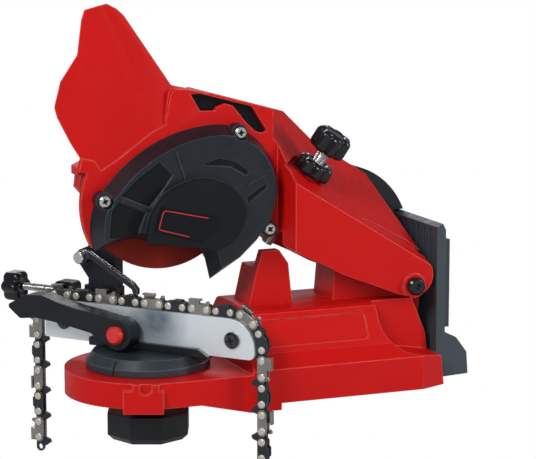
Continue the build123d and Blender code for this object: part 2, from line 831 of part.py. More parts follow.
with BuildPart() as wheel_cover_screws:
    with BuildSketch(Plane.XZ.offset(-face_y + 8)):
        with Locations(*cover_screws):
            Circle(3.6)
    extrude(amount=2.4)
    chamfer(edges().group_by(Axis.Y)[0], 0.7)
    with BuildSketch(Plane.XZ.offset(-face_y + 8)):
        with Locations(*cover_screws):
            Circle(1.8)
    extrude(amount=-8 - cover_screw_in)
    with BuildSketch(Plane.XZ.offset(-face_y + 8 + 2.4)):
        with Locations(*cover_screws):
            RegularPolygon(1.5, 6)
    extrude(amount=-1.4, mode=Mode.SUBTRACT)
save(wheel_cover_screws.part, "wheel_cover_screws")

with BuildPart() as cover_plate:
    with BuildSketch(Plane.XZ.offset(-boss_near_y)):
        with BuildLine():
            Polyline((-115, 120), (-80, 112), (-79, 107), (-91, 98), (-119, 106), close=True)
        make_face()
        fillet(vertices(), 1.2)
    extrude(amount=0.8)
save(cover_plate.part, "cover_plate")

# ---------------------------------------------------------------- window panel of the head
with BuildPart() as recess_panel:
    with BuildSketch(Plane.XZ.offset(-face_y - window_depth)):
        with BuildLine():
            Polyline(*window)
        make_face()
        offset(amount=-0.15)
    extrude(amount=1.2)
save(recess_panel.part, "recess_panel")

# ---------------------------------------------------------------- motor behind the head
motor_r = 24.0
motor_y = shell_y + shell_depth
motor_len = 32.0
motor_z = wheel_z + 10.0
with BuildPart() as motor_housing:
    with BuildSketch(Plane.XZ.offset(-motor_y)):
        with Locations((wheel_x, motor_z)):
            Circle(motor_r)
    extrude(amount=-motor_len)
    chamfer(edges().group_by(Axis.Y)[-1], 2)
    with BuildSketch(Plane.XZ.offset(-motor_y)):
        with Locations((wheel_x, wheel_z)):
            Circle(spindle_r + run_gap)
    extrude(amount=-spindle_far_y + motor_y - 1, mode=Mode.SUBTRACT)
save(motor_housing.part, "motor_housing")

with BuildPart() as motor_end_cap:
    with BuildSketch(Plane.XZ.offset(-motor_y - motor_len)):
        with Locations((wheel_x, motor_z)):
            Circle(motor_r - 3)
            with PolarLocations(motor_r - 10, 8):
                SlotOverall(10, 2.6, mode=Mode.SUBTRACT)
    extrude(amount=-2.5)
save(motor_end_cap.part, "motor_end_cap")

# ---------------------------------------------------------------- power switch, on the far side of the bridge
switch_y = bridge_far_y
with BuildPart() as switch_frame:
    with BuildSketch(Plane.XZ.offset(-switch_y)):
        with Locations((switch_x, switch_z)):
            RectangleRounded(20, 30, 2.5)
            Rectangle(13.4, 21.4, mode=Mode.SUBTRACT)
    extrude(amount=-3)
save(switch_frame.part, "switch_frame")

with BuildPart() as power_switch:
    # Rocker: two faces that meet in a shallow valley on the pivot line.
    with BuildSketch(Plane.YZ.offset(switch_x - 6.4)):
        with BuildLine():
            Polyline(
                (switch_y + 2.2, switch_z - 9.8),
                (switch_y + 5.4, switch_z - 10.0),
                (switch_y + 3.4, switch_z),
                (switch_y + 3.6, switch_z + 9.9),
                (switch_y + 1.8, switch_z + 9.6),
                (switch_y + 1.6, switch_z),
                close=True,
            )
        make_face()
    extrude(amount=12.8)
    with BuildSketch(Plane.YZ.offset(switch_x - 6.6)):
        with Locations((switch_y + 1.6, switch_z)):
            Circle(1.2)
    extrude(amount=13.2)
save(power_switch.part, "power_switch")

# ---------------------------------------------------------------- depth screw
def star(part_plane, r, lobes, bore):
    """Star knob section: lobes round a core, on part_plane."""
    with BuildSketch(part_plane) as section:
        Circle(r * 0.80)
        with PolarLocations(r * 0.74, lobes):
            Circle(r * 0.26)
        if bore:
            Circle(bore, mode=Mode.SUBTRACT)
    return section.sketch


with BuildPart() as depth_screw:
    with BuildSketch(screw_plane(0)):
        Circle(screw_r - 0.8)
    extrude(amount=2)
    with BuildSketch(screw_plane(2)):
        Circle(screw_r)
    extrude(amount=knob_t + 4)
save(depth_screw.part, "depth_screw")

with BuildPart() as thread_insert:
    with BuildSketch(screw_plane(nut_t - insert_len)):
        Circle(insert_r - 0.02)
        Circle(screw_r + run_gap, mode=Mode.SUBTRACT)
    extrude(amount=insert_len - 0.5)
save(thread_insert.part, "thread_insert")

with BuildPart() as depth_knob:
    extrude(star(screw_plane(knob_t), knob_r, 7, 0), amount=knob_h)
    with BuildSketch(screw_plane(knob_t)):
        Circle(screw_r + run_gap)
    extrude(amount=6 + run_gap, mode=Mode.SUBTRACT)
save(depth_knob.part, "depth_knob")

with BuildPart() as depth_lock_nut:
    extrude(star(screw_plane(nut_t), knob_r, 7, screw_r + run_gap), amount=nut_h)
save(depth_lock_nut.part, "depth_lock_nut")

# ---------------------------------------------------------------- swivel table
with BuildPart() as swivel_table:
    with BuildSketch(Plane.XY.offset(table_z)):
        with Locations((swivel_x, 0)):
            Circle(table_r)
    extrude(amount=table_rim_t)
    with BuildSketch(Plane.XY.offset(table_z + table_rim_t)):
        with Locations((swivel_x, 0)):
            Circle(table_r - 0.5)
    extrude(amount=table_t - table_rim_t, taper=38)
    with BuildSketch(Plane.XY.offset(table_z)):
        with Locations((swivel_x, 0)):
            Circle(bolt8_r + run_gap)
    extrude(amount=20, mode=Mode.SUBTRACT)
    with BuildSketch(Plane.XY.offset(table_top - 3)):
        with Locations((swivel_x, 0)):
            RegularPolygon(6.6, 6, major_radius=False)
    extrude(amount=10, mode=Mode.SUBTRACT)
save(swivel_table.part, "swivel_table")

slot_half_w = slot_w / 2
with BuildPart() as rail_bracket:
    # Saddle under the plates and a rail on either side of them.
    with BuildSketch(rail_plane(n=-bracket_half)):
        with BuildLine():
            Polyline(
                (-38, table_top + 0.05),
                (-38, table_top + 5),
                (39, table_top + 5),
                (46, table_top + 1),
                (46, table_top + 0.05),
                close=True,
            )
        make_face()
    extrude(amount=-2 * bracket_half)
    with BuildSketch(rail_plane(n=-slot_half_w - rail_t - 0.05)):
        with Locations((4, rail_z0 + 5 - 0.05)):
            Rectangle(90, 10)
    extrude(amount=-2 * (slot_half_w + rail_t + 0.05), mode=Mode.SUBTRACT)
save(rail_bracket.part, "rail_bracket")


def rail_section(n):
    """Side outline of a rail plate, at the distance n from the middle of the vise."""
    with BuildLine() as outline:
        Line((rail_s0, rail_z0), (rail_s1 - 4, rail_z0))
        ThreePointArc((rail_s1 - 4, rail_z0), (rail_s1 - 1.2, rail_z0 + 1.2), (rail_s1, rail_z0 + 4))
        Line((rail_s1, rail_z0 + 4), (rail_s1, rail_z1 - 18))
        ThreePointArc((rail_s1, rail_z1 - 18), (rail_s1 - 5.3, rail_z1 - 5.3), (rail_s1 - 18, rail_z1))
        Line((rail_s1 - 18, rail_z1), (rail_s0 + 14, rail_z1))
        ThreePointArc((rail_s0 + 14, rail_z1), (rail_s0 + 4.1, rail_z1 - 4.1), (rail_s0, rail_z1 - 14))
        Line((rail_s0, rail_z1 - 14), (rail_s0, rail_z0))
    with BuildSketch(rail_plane(n=n)) as section:
        add(outline.line)
        make_face()
        with Locations((clamp_s, clamp_z)):
            Circle(4 + run_gap, mode=Mode.SUBTRACT)
        with Locations((screw_s[0], screw_z), (screw_s[1], screw_z)):
            Circle(2.5 + run_gap, mode=Mode.SUBTRACT)
    return section.sketch


with BuildPart() as rail_plate_near:
    extrude(rail_section(-slot_half_w), amount=rail_t)
save(rail_plate_near.part, "rail_plate_near")
with BuildPart() as rail_plate_far:
    extrude(rail_section(slot_half_w), amount=-rail_t)
save(rail_plate_far.part, "rail_plate_far")

# ---------------------------------------------------------------- lock knob under the front
lock_top_z = lock_boss_z - part_gap
lock_neck_z = -9.0
with BuildPart() as swivel_lock_knob:
    with BuildSketch(Plane.XY.offset(lock_top_z)):
        with Locations((swivel_x, 0)):
            Circle(lock_boss_r - 1)
            Circle(bolt8_r + run_gap, mode=Mode.SUBTRACT)
    extrude(amount=lock_neck_z - lock_top_z)
    with BuildSketch(Plane.XY.offset(lock_neck_z)):
        with Locations((swivel_x, 0)):
            RegularPolygon(26.5, 8, major_radius=True, rotation=0.5)
            Circle(bolt8_r + run_gap, mode=Mode.SUBTRACT)
    extrude(amount=-17)
    chamfer(faces().sort_by(Axis.Z)[0].outer_wire().edges(), 3.5)
save(swivel_lock_knob.part, "swivel_lock_knob")

with BuildPart() as swivel_bolt:
    with BuildSketch(Plane.XY.offset(table_z - 2.5)):
        with Locations((swivel_x, 0)):
            Circle(bolt8_r)
    extrude(amount=lock_neck_z - 14 - table_z + 2.5)
    with BuildSketch(Plane.XY.offset(table_z - 2.5)):
        with Locations((swivel_x, 0)):
            Circle(bolt8_r)
    extrude(amount=table_t + 2.5 - 3)
    with BuildSketch(Plane.XY.offset(table_top - 3)):
        with Locations((swivel_x, 0)):
            RegularPolygon(6.5, 6, major_radius=False)
    extrude(amount=2.8)
save(swivel_bolt.part, "swivel_bolt")

# ---------------------------------------------------------------- clamp lever
lever_n = -bracket_half - 0.4
lever_t = 12.6
with BuildPart() as clamp_lever:
    with BuildSketch(rail_plane(n=lever_n)):
        with BuildLine():
            Polyline(
                (-12, 49.4),
                (-28, 52),
                (-40, 53.5),
                (-52, 56),
                (-64, 59.5),
                (-76, 58.5),
                (-90, 51),
                (-80, 43.5),
                (-68, 45),
                (-52, 43.3),
                (-29, 39.5),
                (-16, 33),
                close=True,
            )
        make_face()
        fillet(vertices().group_by(Axis.X)[:-3], 2)
        with Locations((clamp_s, clamp_z)):
            Circle(9.5)
            Circle(4 + run_gap, mode=Mode.SUBTRACT)
    extrude(amount=lever_t)
save(clamp_lever.part, "clamp_lever")

with BuildPart() as clamp_cap:
    with BuildSketch(rail_plane(n=lever_n - lever_t - 0.3)):
        with Locations((clamp_s, clamp_z)):
            Circle(5.6)
    extrude(amount=4)
    chamfer(faces().sort_by(Axis.Y)[0].edges(), 1.4)
save(clamp_cap.part, "clamp_cap")

with BuildPart() as clamp_bolt:
    with BuildSketch(rail_plane(n=lever_n - lever_t)):
        with Locations((clamp_s, clamp_z)):
            Circle(4)
    extrude(amount=lever_n - lever_t - 8)
    with BuildSketch(rail_plane(n=slot_half_w + rail_t)):
        with Locations((clamp_s, clamp_z)):
            RegularPolygon(6.0, 6, major_radius=False)
    extrude(amount=-4)
save(clamp_bolt.part, "clamp_bolt")

plate_out_n = slot_half_w + rail_t
with BuildPart() as rail_screws:
    # Domed head, shank through both plates.
    for k in screw_s:
        with BuildSketch(rail_plane(n=-plate_out_n)):
            with Locations((k, screw_z)):
                Circle(5)
        extrude(amount=2.8)
    near_axis = Axis((0, 0, 0), rail_plane().z_dir)
    chamfer(edges().filter_by(GeomType.CIRCLE).sort_by(near_axis)[-2:], 1.4)
    for k in screw_s:
        with BuildSketch(rail_plane(n=-plate_out_n)):
            with Locations((k, screw_z)):
                Circle(2.5)
        extrude(amount=-2 * plate_out_n - 5)
save(rail_screws.part, "rail_screws")

with BuildPart() as rail_nuts:
    for k in screw_s:
        with BuildSketch(rail_plane(n=plate_out_n)):
            with Locations((k, screw_z)):
                RegularPolygon(4.2, 6, major_radius=False)
                Circle(2.5 + run_gap, mode=Mode.SUBTRACT)
        extrude(amount=-4)
save(rail_nuts.part, "rail_nuts")

# ---------------------------------------------------------------- chain stop
stop_n = 8.0            # the stop sits behind the far plate
rod_z = 57.5
rod_r = 2.5
pawl_s = -45.5
pawl_z = 82.0
pawl_head_n = -4.0


def along_plane(s):
    """Plane square to the rails at s, x towards the far side, y up."""
    base = rail_plane(s=s, n=stop_n, z=rod_z)
    return Plane(origin=base.origin, x_dir=-base.z_dir, z_dir=base.x_dir)


with BuildPart() as stop_bearing:
    with BuildSketch(rail_plane(n=plate_out_n)):
        with Locations((-64, 52)):
            Rectangle(8, 10)
        with Locations((-63, rod_z)):
            RectangleRounded(14, 13, 3)
    extrude(amount=-(stop_n - plate_out_n + 5))
    with BuildSketch(along_plane(-80)):
        Circle(rod_r + run_gap)
    extrude(amount=30, mode=Mode.SUBTRACT)
save(stop_bearing.part, "stop_bearing")

with BuildPart() as stop_knob:
    extrude(star(along_plane(-108), 10, 6, 0), amount=12)
    with BuildSketch(along_plane(-96)):
        Circle(4.5)
    extrude(amount=5)
    with BuildSketch(along_plane(-100)):
        Circle(rod_r + run_gap)
    extrude(amount=10, mode=Mode.SUBTRACT)
save(stop_knob.part, "stop_knob")

with BuildPart() as stop_rod:
    with BuildSketch(along_plane(-99.8)):
        Circle(rod_r)
    extrude(amount=68.8)
save(stop_rod.part, "stop_rod")

stop_in_n = plate_out_n + 0.4
stop_out_n = stop_n + 4.5
with BuildPart() as stop_carrier:
    # Foot on the screw, upright behind the chain, ear for the pawl pin.
    with BuildSketch(rail_plane(n=stop_in_n)):
        with Locations((-36, rod_z)):
            Rectangle(24, 12)
        with Locations((-35, 75)):
            Rectangle(20, 27)
        Polygon((-45, 88), (-52, 85), (-52, 77), (-45, 68), align=None)
    extrude(amount=-(stop_out_n - stop_in_n))
    with BuildSketch(along_plane(-60)):
        Circle(rod_r + run_gap)
    extrude(amount=60, mode=Mode.SUBTRACT)
    with BuildSketch(rail_plane(n=stop_in_n - 1)):
        with Locations((pawl_s, pawl_z)):
            Circle(2 + run_gap)
    extrude(amount=-20, mode=Mode.SUBTRACT)
save(stop_carrier.part, "stop_carrier")

with BuildPart() as pawl_pin:
    with BuildSketch(rail_plane(n=pawl_head_n)):
        with Locations((pawl_s, pawl_z)):
            Circle(3.6)
    extrude(amount=2.6)
    chamfer(edges().filter_by(GeomType.CIRCLE), 0.4)
    with BuildSketch(rail_plane(n=pawl_head_n)):
        with Locations((pawl_s, pawl_z)):
            Circle(2)
    extrude(amount=-(stop_out_n - pawl_head_n + 2))
save(pawl_pin.part, "pawl_pin")

with BuildPart() as stop_pawl:
    # Boss round the pin and a narrower arm down to the chain.
    with BuildSketch(rail_plane(n=pawl_head_n + 0.3)):
        with Locations((pawl_s, pawl_z)):
            Circle(5)
    extrude(amount=-(stop_in_n - 0.3 - pawl_head_n - 0.3))
    with BuildSketch(rail_plane(n=-1.8)):
        with BuildLine():
            Polyline(
                (-45, 87),
                (-41, 86.5),
                (-7.2, 67.5),
                (-6.3, 65),
                (-6.6, 61.7),
                (-8.8, 61.7),
                (-9.4, 64),
                (-42, 78),
                close=True,
            )
        make_face()
    extrude(amount=-3.6)
    with BuildSketch(rail_plane(n=-6)):
        with Locations((pawl_s, pawl_z)):
            Circle(2 + run_gap)
    extrude(amount=-20, mode=Mode.SUBTRACT)
save(stop_pawl.part, "stop_pawl")

# ---------------------------------------------------------------- chain in the vise
s_left, s_right = -79.5, 80.0
r_left, r_right = 16.0, 20.0


def chain_point(t):
    """Rivet line at the distance t from the middle of the rails, as (s, z)."""
    end_right = s_right - r_right
    end_left = s_left + r_left
    if end_left <= t <= end_right:
        return t, rivet_line_z
    if t > end_right:
        a = (t - end_right) / r_right
        if a < math.pi / 2:
            return end_right + r_right * math.sin(a), rivet_line_z - r_right * (1 - math.cos(a))
        return s_right, rivet_line_z - r_right - (t - end_right - r_right * math.pi / 2)
    a = (end_left - t) / r_left
    if a < math.pi / 2:
        return end_left - r_left * math.sin(a), rivet_line_z - r_left * (1 - math.cos(a))
    return s_left, rivet_line_z - r_left - (end_left - t - r_left * math.pi / 2)


first_link, last_link = -21, 21


def next_rivet(t, length, way):
    """Place along the chain, in the direction way from t, at the straight distance length."""
    low, high = 0.0, 2 * length
    start = Vector(*chain_point(t), 0)
    for _ in range(40):
        mid = (low + high) / 2
        if (Vector(*chain_point(t + way * mid), 0) - start).length < length:
            low = mid
        else:
            high = mid
    return t + way * low


rivets_at = {0: strap_shift - strap_pitch / 2, 1: strap_shift + strap_pitch / 2}
for k in range(1, last_link + 2):
    rivets_at[k + 1] = next_rivet(rivets_at[k], strap_pitch if k % 2 == 0 else 2 * pitch - strap_pitch, 1)
for k in range(0, first_link - 1, -1):
    rivets_at[k - 1] = next_rivet(rivets_at[k], strap_pitch if k % 2 else 2 * pitch - strap_pitch, -1)


def link_plane(k, n):
    """Plane of the link from rivet k to rivet k + 1, x along the link."""
    p = chain_point(rivets_at[k])
    q = chain_point(rivets_at[k + 1])
    base = rail_plane(n=n)
    o = base.origin + base.x_dir * ((p[0] + q[0]) / 2) + base.y_dir * ((p[1] + q[1]) / 2)
    return Plane(origin=o, x_dir=base.x_dir * (q[0] - p[0]) + base.y_dir * (q[1] - p[1]), z_dir=base.z_dir)


drive_ids = [k for k in range(first_link, last_link + 1) if k % 2]
side_ids = [k for k in range(first_link, last_link + 1) if k % 2 == 0]
tie_ids = [k for k in side_ids if k % 4 == 2]
right_ids = [k for k in side_ids if k % 8 == 0]
left_ids = [k for k in side_ids if k % 8 == 4]
drive_half = (2 * pitch - strap_pitch) / 2
strap_half = strap_pitch / 2



def link_outline(half, reach):
    """Link with eight-sided ends: half the rivet spacing, and the height of the end above the rivet."""
    k = math.tan(math.pi / 8) * reach
    right = [(half + k, reach), (half + reach, k), (half + reach, -k), (half + k, -reach)]
    left = [(-x, -y) for x, y in right]
    Polygon(*right, *left, align=None)


with BuildPart() as chain_drive_links:
    for k in drive_ids:
        with BuildSketch(link_plane(k, -drive_t / 2)):
            link_outline(drive_half, strap_h - 0.3)
            Polygon(
                (-drive_half - 1, -1),
                (drive_half + 1, -1),
                (drive_half - 1, -7.0),
                (drive_half - 3, -8.0),
                align=None,
            )
            with Locations((-drive_half, 0), (drive_half, 0)):
                RegularPolygon(rivet_r + run_gap, 8, major_radius=False, mode=Mode.SUBTRACT)
        extrude(amount=-drive_t)
save(chain_drive_links.part, "chain_drive_links")

inner_n = drive_t / 2 + link_gap
outer_n = inner_n + strap_t
head_n = outer_n + 0.8


def rivets(k):
    """Shank and two heads of both rivets of strap pair k, as (plane, radius, depth)."""
    yield link_plane(k, -outer_n), rivet_r, 2 * outer_n
    yield link_plane(k, -head_n), rivet_head_r, head_n - outer_n
    yield link_plane(k, outer_n), rivet_head_r, head_n - outer_n


with BuildPart() as chain_tie_links:
    for k in tie_ids:
        for side in (-1, 1):
            with BuildSketch(link_plane(k, side * inner_n)):
                link_outline(strap_half, strap_h)
                Polygon((-3.6, 2), (-1.6, 4.2), (3.6, 4.2), (5.6, 2), align=None)
            extrude(amount=-side * strap_t)
        for plane, r, depth in rivets(k):
            with BuildSketch(plane):
                with Locations((-strap_half, 0), (strap_half, 0)):
                    RegularPolygon(r, 8)
            extrude(amount=-depth)
save(chain_tie_links.part, "chain_tie_links")


def cutter_links(ids, hand):
    """Cutters of one hand: side plate with depth gauge and top plate, strap opposite, two rivets."""
    for k in ids:
        with BuildPart() as cutter:
            with BuildSketch(link_plane(k, -hand * inner_n)):
                link_outline(strap_half, strap_h)
            extrude(amount=hand * strap_t)
            with BuildSketch(link_plane(k, hand * inner_n)):
                link_outline(strap_half, strap_h)
                Polygon((-7.2, 1), (-7.4, 5.9), (0.6, 6.0), (-0.4, 2), align=None)
                Polygon((3.4, 2), (4.8, 5.0), (6.4, 5.2), (7.2, 1), align=None)
            extrude(amount=-hand * strap_t)
            with BuildSketch(link_plane(k, hand * outer_n)):
                with BuildLine():
                    Polyline((-7.36, 4.9), (-7.4, 5.9), (0.6, 6.0), (0.4, 5.0), close=True)
                make_face()
            extrude(amount=hand * (outer_n + 1.2))
            for plane, r, depth in rivets(k):
                with BuildSketch(plane):
                    with Locations((-strap_half, 0), (strap_half, 0)):
                        RegularPolygon(r, 8)
                extrude(amount=-depth)
        yield cutter.part


with BuildPart() as chain_cutters_right:
    for cutter_part in cutter_links(right_ids, 1):
        add(cutter_part)
save(chain_cutters_right.part, "chain_cutters_right")
with BuildPart() as chain_cutters_left:
    for cutter_part in cutter_links(left_ids, -1):
        add(cutter_part)
save(chain_cutters_left.part, "chain_cutters_left")
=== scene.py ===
import math

import bmesh
import bpy
from mathutils import Matrix, Vector


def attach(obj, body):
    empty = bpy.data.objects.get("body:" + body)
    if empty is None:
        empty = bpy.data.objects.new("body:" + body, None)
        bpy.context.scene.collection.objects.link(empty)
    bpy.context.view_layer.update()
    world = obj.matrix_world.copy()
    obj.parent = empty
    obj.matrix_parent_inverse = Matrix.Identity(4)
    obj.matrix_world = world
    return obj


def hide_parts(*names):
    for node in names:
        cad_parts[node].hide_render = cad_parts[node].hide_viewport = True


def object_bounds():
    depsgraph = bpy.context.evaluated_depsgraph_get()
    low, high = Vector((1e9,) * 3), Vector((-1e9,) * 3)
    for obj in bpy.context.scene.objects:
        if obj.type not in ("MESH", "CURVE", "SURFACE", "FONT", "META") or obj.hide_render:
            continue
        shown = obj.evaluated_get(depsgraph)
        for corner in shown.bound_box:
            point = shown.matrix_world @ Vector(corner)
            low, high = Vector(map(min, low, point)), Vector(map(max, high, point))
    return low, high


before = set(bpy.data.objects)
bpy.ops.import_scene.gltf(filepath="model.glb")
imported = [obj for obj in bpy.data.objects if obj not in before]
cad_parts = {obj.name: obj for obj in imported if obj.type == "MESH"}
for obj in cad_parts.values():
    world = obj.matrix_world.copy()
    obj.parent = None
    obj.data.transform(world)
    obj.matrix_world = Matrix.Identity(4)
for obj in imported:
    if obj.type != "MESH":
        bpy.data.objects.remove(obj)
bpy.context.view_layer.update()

MM = 0.001
QUARTER = math.pi / 2

# ------------------------------------------------------------ camera of the photograph
CAM_AT = Vector((-538.63, -1244.37, 324.48)) * MM
CAM_BACK = Vector((-0.36936, -0.91420, 0.16677)).normalized()
CAM_RIGHT = Vector((0.9272, -0.3746, 0)).normalized()
SENSOR_MM = 36.0
LENS_MM = 147.76
VIEW_DEPTH = 20

cam_data = bpy.data.cameras.new("photo_camera")
cam_data.sensor_width = SENSOR_MM
cam_data.lens = LENS_MM
cam_data.clip_end = VIEW_DEPTH
camera = bpy.data.objects.new("photo_camera", cam_data)
bpy.context.scene.collection.objects.link(camera)
cam_up = CAM_BACK.cross(CAM_RIGHT)
cam_turn = Matrix((CAM_RIGHT, cam_up, CAM_BACK)).transposed().to_4x4()
camera.matrix_world = Matrix.Translation(CAM_AT) @ cam_turn
bpy.context.scene.camera = camera


# ------------------------------------------------------------ node helpers
def fresh_tree(block):
    """Empty node tree of a new material or world."""
    block.use_nodes = True
    block.node_tree.nodes.clear()
    return block.node_tree


def link(tree, a, b):
    tree.links.new(a, b)


def object_coords(tree, stretch=(1, 1, 1), turn_z=0.0):
    tex = tree.nodes.new("ShaderNodeTexCoord")
    mapping = tree.nodes.new("ShaderNodeMapping")
    mapping.inputs["Rotation"].default_value = (0, 0, turn_z)
    mapping.inputs["Scale"].default_value = stretch
    link(tree, tex.outputs["Object"], mapping.inputs[0])
    return mapping.outputs[0]


def noise_tex(tree, coords, scale, detail=3.0):
    node = tree.nodes.new("ShaderNodeTexNoise")
    node.inputs["Scale"].default_value = scale
    node.inputs["Detail"].default_value = detail
    node.inputs["Roughness"].default_value = 0.55
    link(tree, coords, node.inputs["Vector"])
    return node.outputs["Fac"]


def map_range(tree, value, source, target):
    """Value rescaled from the pair source to the pair target, clamped."""
    node = tree.nodes.new("ShaderNodeMapRange")
    node.inputs["From Min"].default_value, node.inputs["From Max"].default_value = source
    node.inputs["To Min"].default_value, node.inputs["To Max"].default_value = target
    link(tree, value, node.inputs["Value"])
    return node.outputs["Result"]


def math_node(tree, op, a, b):
    node = tree.nodes.new("ShaderNodeMath")
    node.operation = op
    for k, v in enumerate((a, b)):
        if isinstance(v, (int, float)):
            node.inputs[k].default_value = v
        else:
            link(tree, v, node.inputs[k])
    return node.outputs[0]


def mix_color(tree, fac, a, b):
    node = tree.nodes.new("ShaderNodeMix")
    node.data_type = "RGBA"
    link(tree, fac, node.inputs["Factor"])
    for key, v in ((6, a), (7, b)):
        if isinstance(v, tuple):
            node.inputs[key].default_value = (*v, 1)
        else:
            link(tree, v, node.inputs[key])
    return node.outputs[2]


def edge_mask(tree, bevel_normal):
    """1 where the rounded normal leaves the face's own one, at an edge, and 0 on flat ground."""
    geo = tree.nodes.new("ShaderNodeNewGeometry")
    dot = tree.nodes.new("ShaderNodeVectorMath")
    dot.operation = "DOT_PRODUCT"
    link(tree, bevel_normal, dot.inputs[0])
    link(tree, geo.outputs["Normal"], dot.inputs[1])
    return map_range(tree, dot.outputs["Value"], (0.995, 0.90), (0.0, 1.0))


def shown_and_lit(tree, output, seen, lit, shown):
    """Sends the shader lit to the scene, and the shader shown to the rays that seen picks."""
    mix = tree.nodes.new("ShaderNodeMixShader")
    link(tree, seen, mix.inputs[0])
    link(tree, lit.outputs[0], mix.inputs[1])
    link(tree, shown.outputs[0], mix.inputs[2])
    link(tree, mix.outputs[0], output.inputs[0])


# ------------------------------------------------------------ materials
DRIFT_SCALE = 35.0
GLOSS_SCALE = 180.0
WEAR_AND_HIGHLIGHT_SCALE = 260.0
GRAIN_DEPTH = 0.05
COAT_ROUGH = 0.08
LEAST_ROUGH = 0.03


def surface(
    name, tone, rough, metal=0.0, spec=0.5, coat=0.0, vary=0.10, rough_vary=0.08,
    grain=0.35, grain_scale=2400.0, stretch=(1, 1, 1), turn_z=0.0,
    edge_tone=None, edge_amount=0.5, round_mm=0.6,
):
    """Plastic or metal: colour drift, fine grain, uneven gloss, rounded edges painted lighter,
    partly as wear and partly as a painted highlight.
    """
    mat = bpy.data.materials.new(name)
    tree = fresh_tree(mat)
    out = tree.nodes.new("ShaderNodeOutputMaterial")
    bsdf = tree.nodes.new("ShaderNodeBsdfPrincipled")
    link(tree, bsdf.outputs[0], out.inputs[0])
    coords = object_coords(tree)
    brushed = object_coords(tree, stretch, turn_z)
    dark = tuple(c * (1 - vary) for c in tone)
    light = tuple(min(1.0, c * (1 + vary)) for c in tone)
    color = mix_color(tree, noise_tex(tree, coords, DRIFT_SCALE), dark, light)
    bevel = tree.nodes.new("ShaderNodeBevel")
    bevel.samples = 4
    bevel.inputs["Radius"].default_value = round_mm * MM
    # edge_tone is a lighter colour painted on the rounded edges: partly wear, partly a painted
    # highlight of the folds
    if edge_tone:
        wear_and_highlight = math_node(tree, "MULTIPLY", edge_mask(tree, bevel.outputs[0]), edge_amount)
        uneven = map_range(tree, noise_tex(tree, coords, WEAR_AND_HIGHLIGHT_SCALE), (0.35, 0.65), (0.45, 1.0))
        color = mix_color(tree, math_node(tree, "MULTIPLY", wear_and_highlight, uneven), color, edge_tone)
    link(tree, color, bsdf.inputs["Base Color"])
    roughs = (max(LEAST_ROUGH, rough - rough_vary), min(1.0, rough + rough_vary))
    gloss = map_range(tree, noise_tex(tree, brushed, GLOSS_SCALE, 4.0), (0.3, 0.7), roughs)
    link(tree, gloss, bsdf.inputs["Roughness"])
    bump = tree.nodes.new("ShaderNodeBump")
    bump.inputs["Strength"].default_value = grain
    bump.inputs["Distance"].default_value = GRAIN_DEPTH * MM
    link(tree, noise_tex(tree, brushed, grain_scale, 2.0), bump.inputs["Height"])
    link(tree, bevel.outputs[0], bump.inputs["Normal"])
    link(tree, bump.outputs[0], bsdf.inputs["Normal"])
    bsdf.inputs["Metallic"].default_value = metal
    bsdf.inputs["Specular IOR Level"].default_value = spec
    if coat:
        bsdf.inputs["Coat Weight"].default_value = coat
        bsdf.inputs["Coat Roughness"].default_value = COAT_ROUGH
    return mat


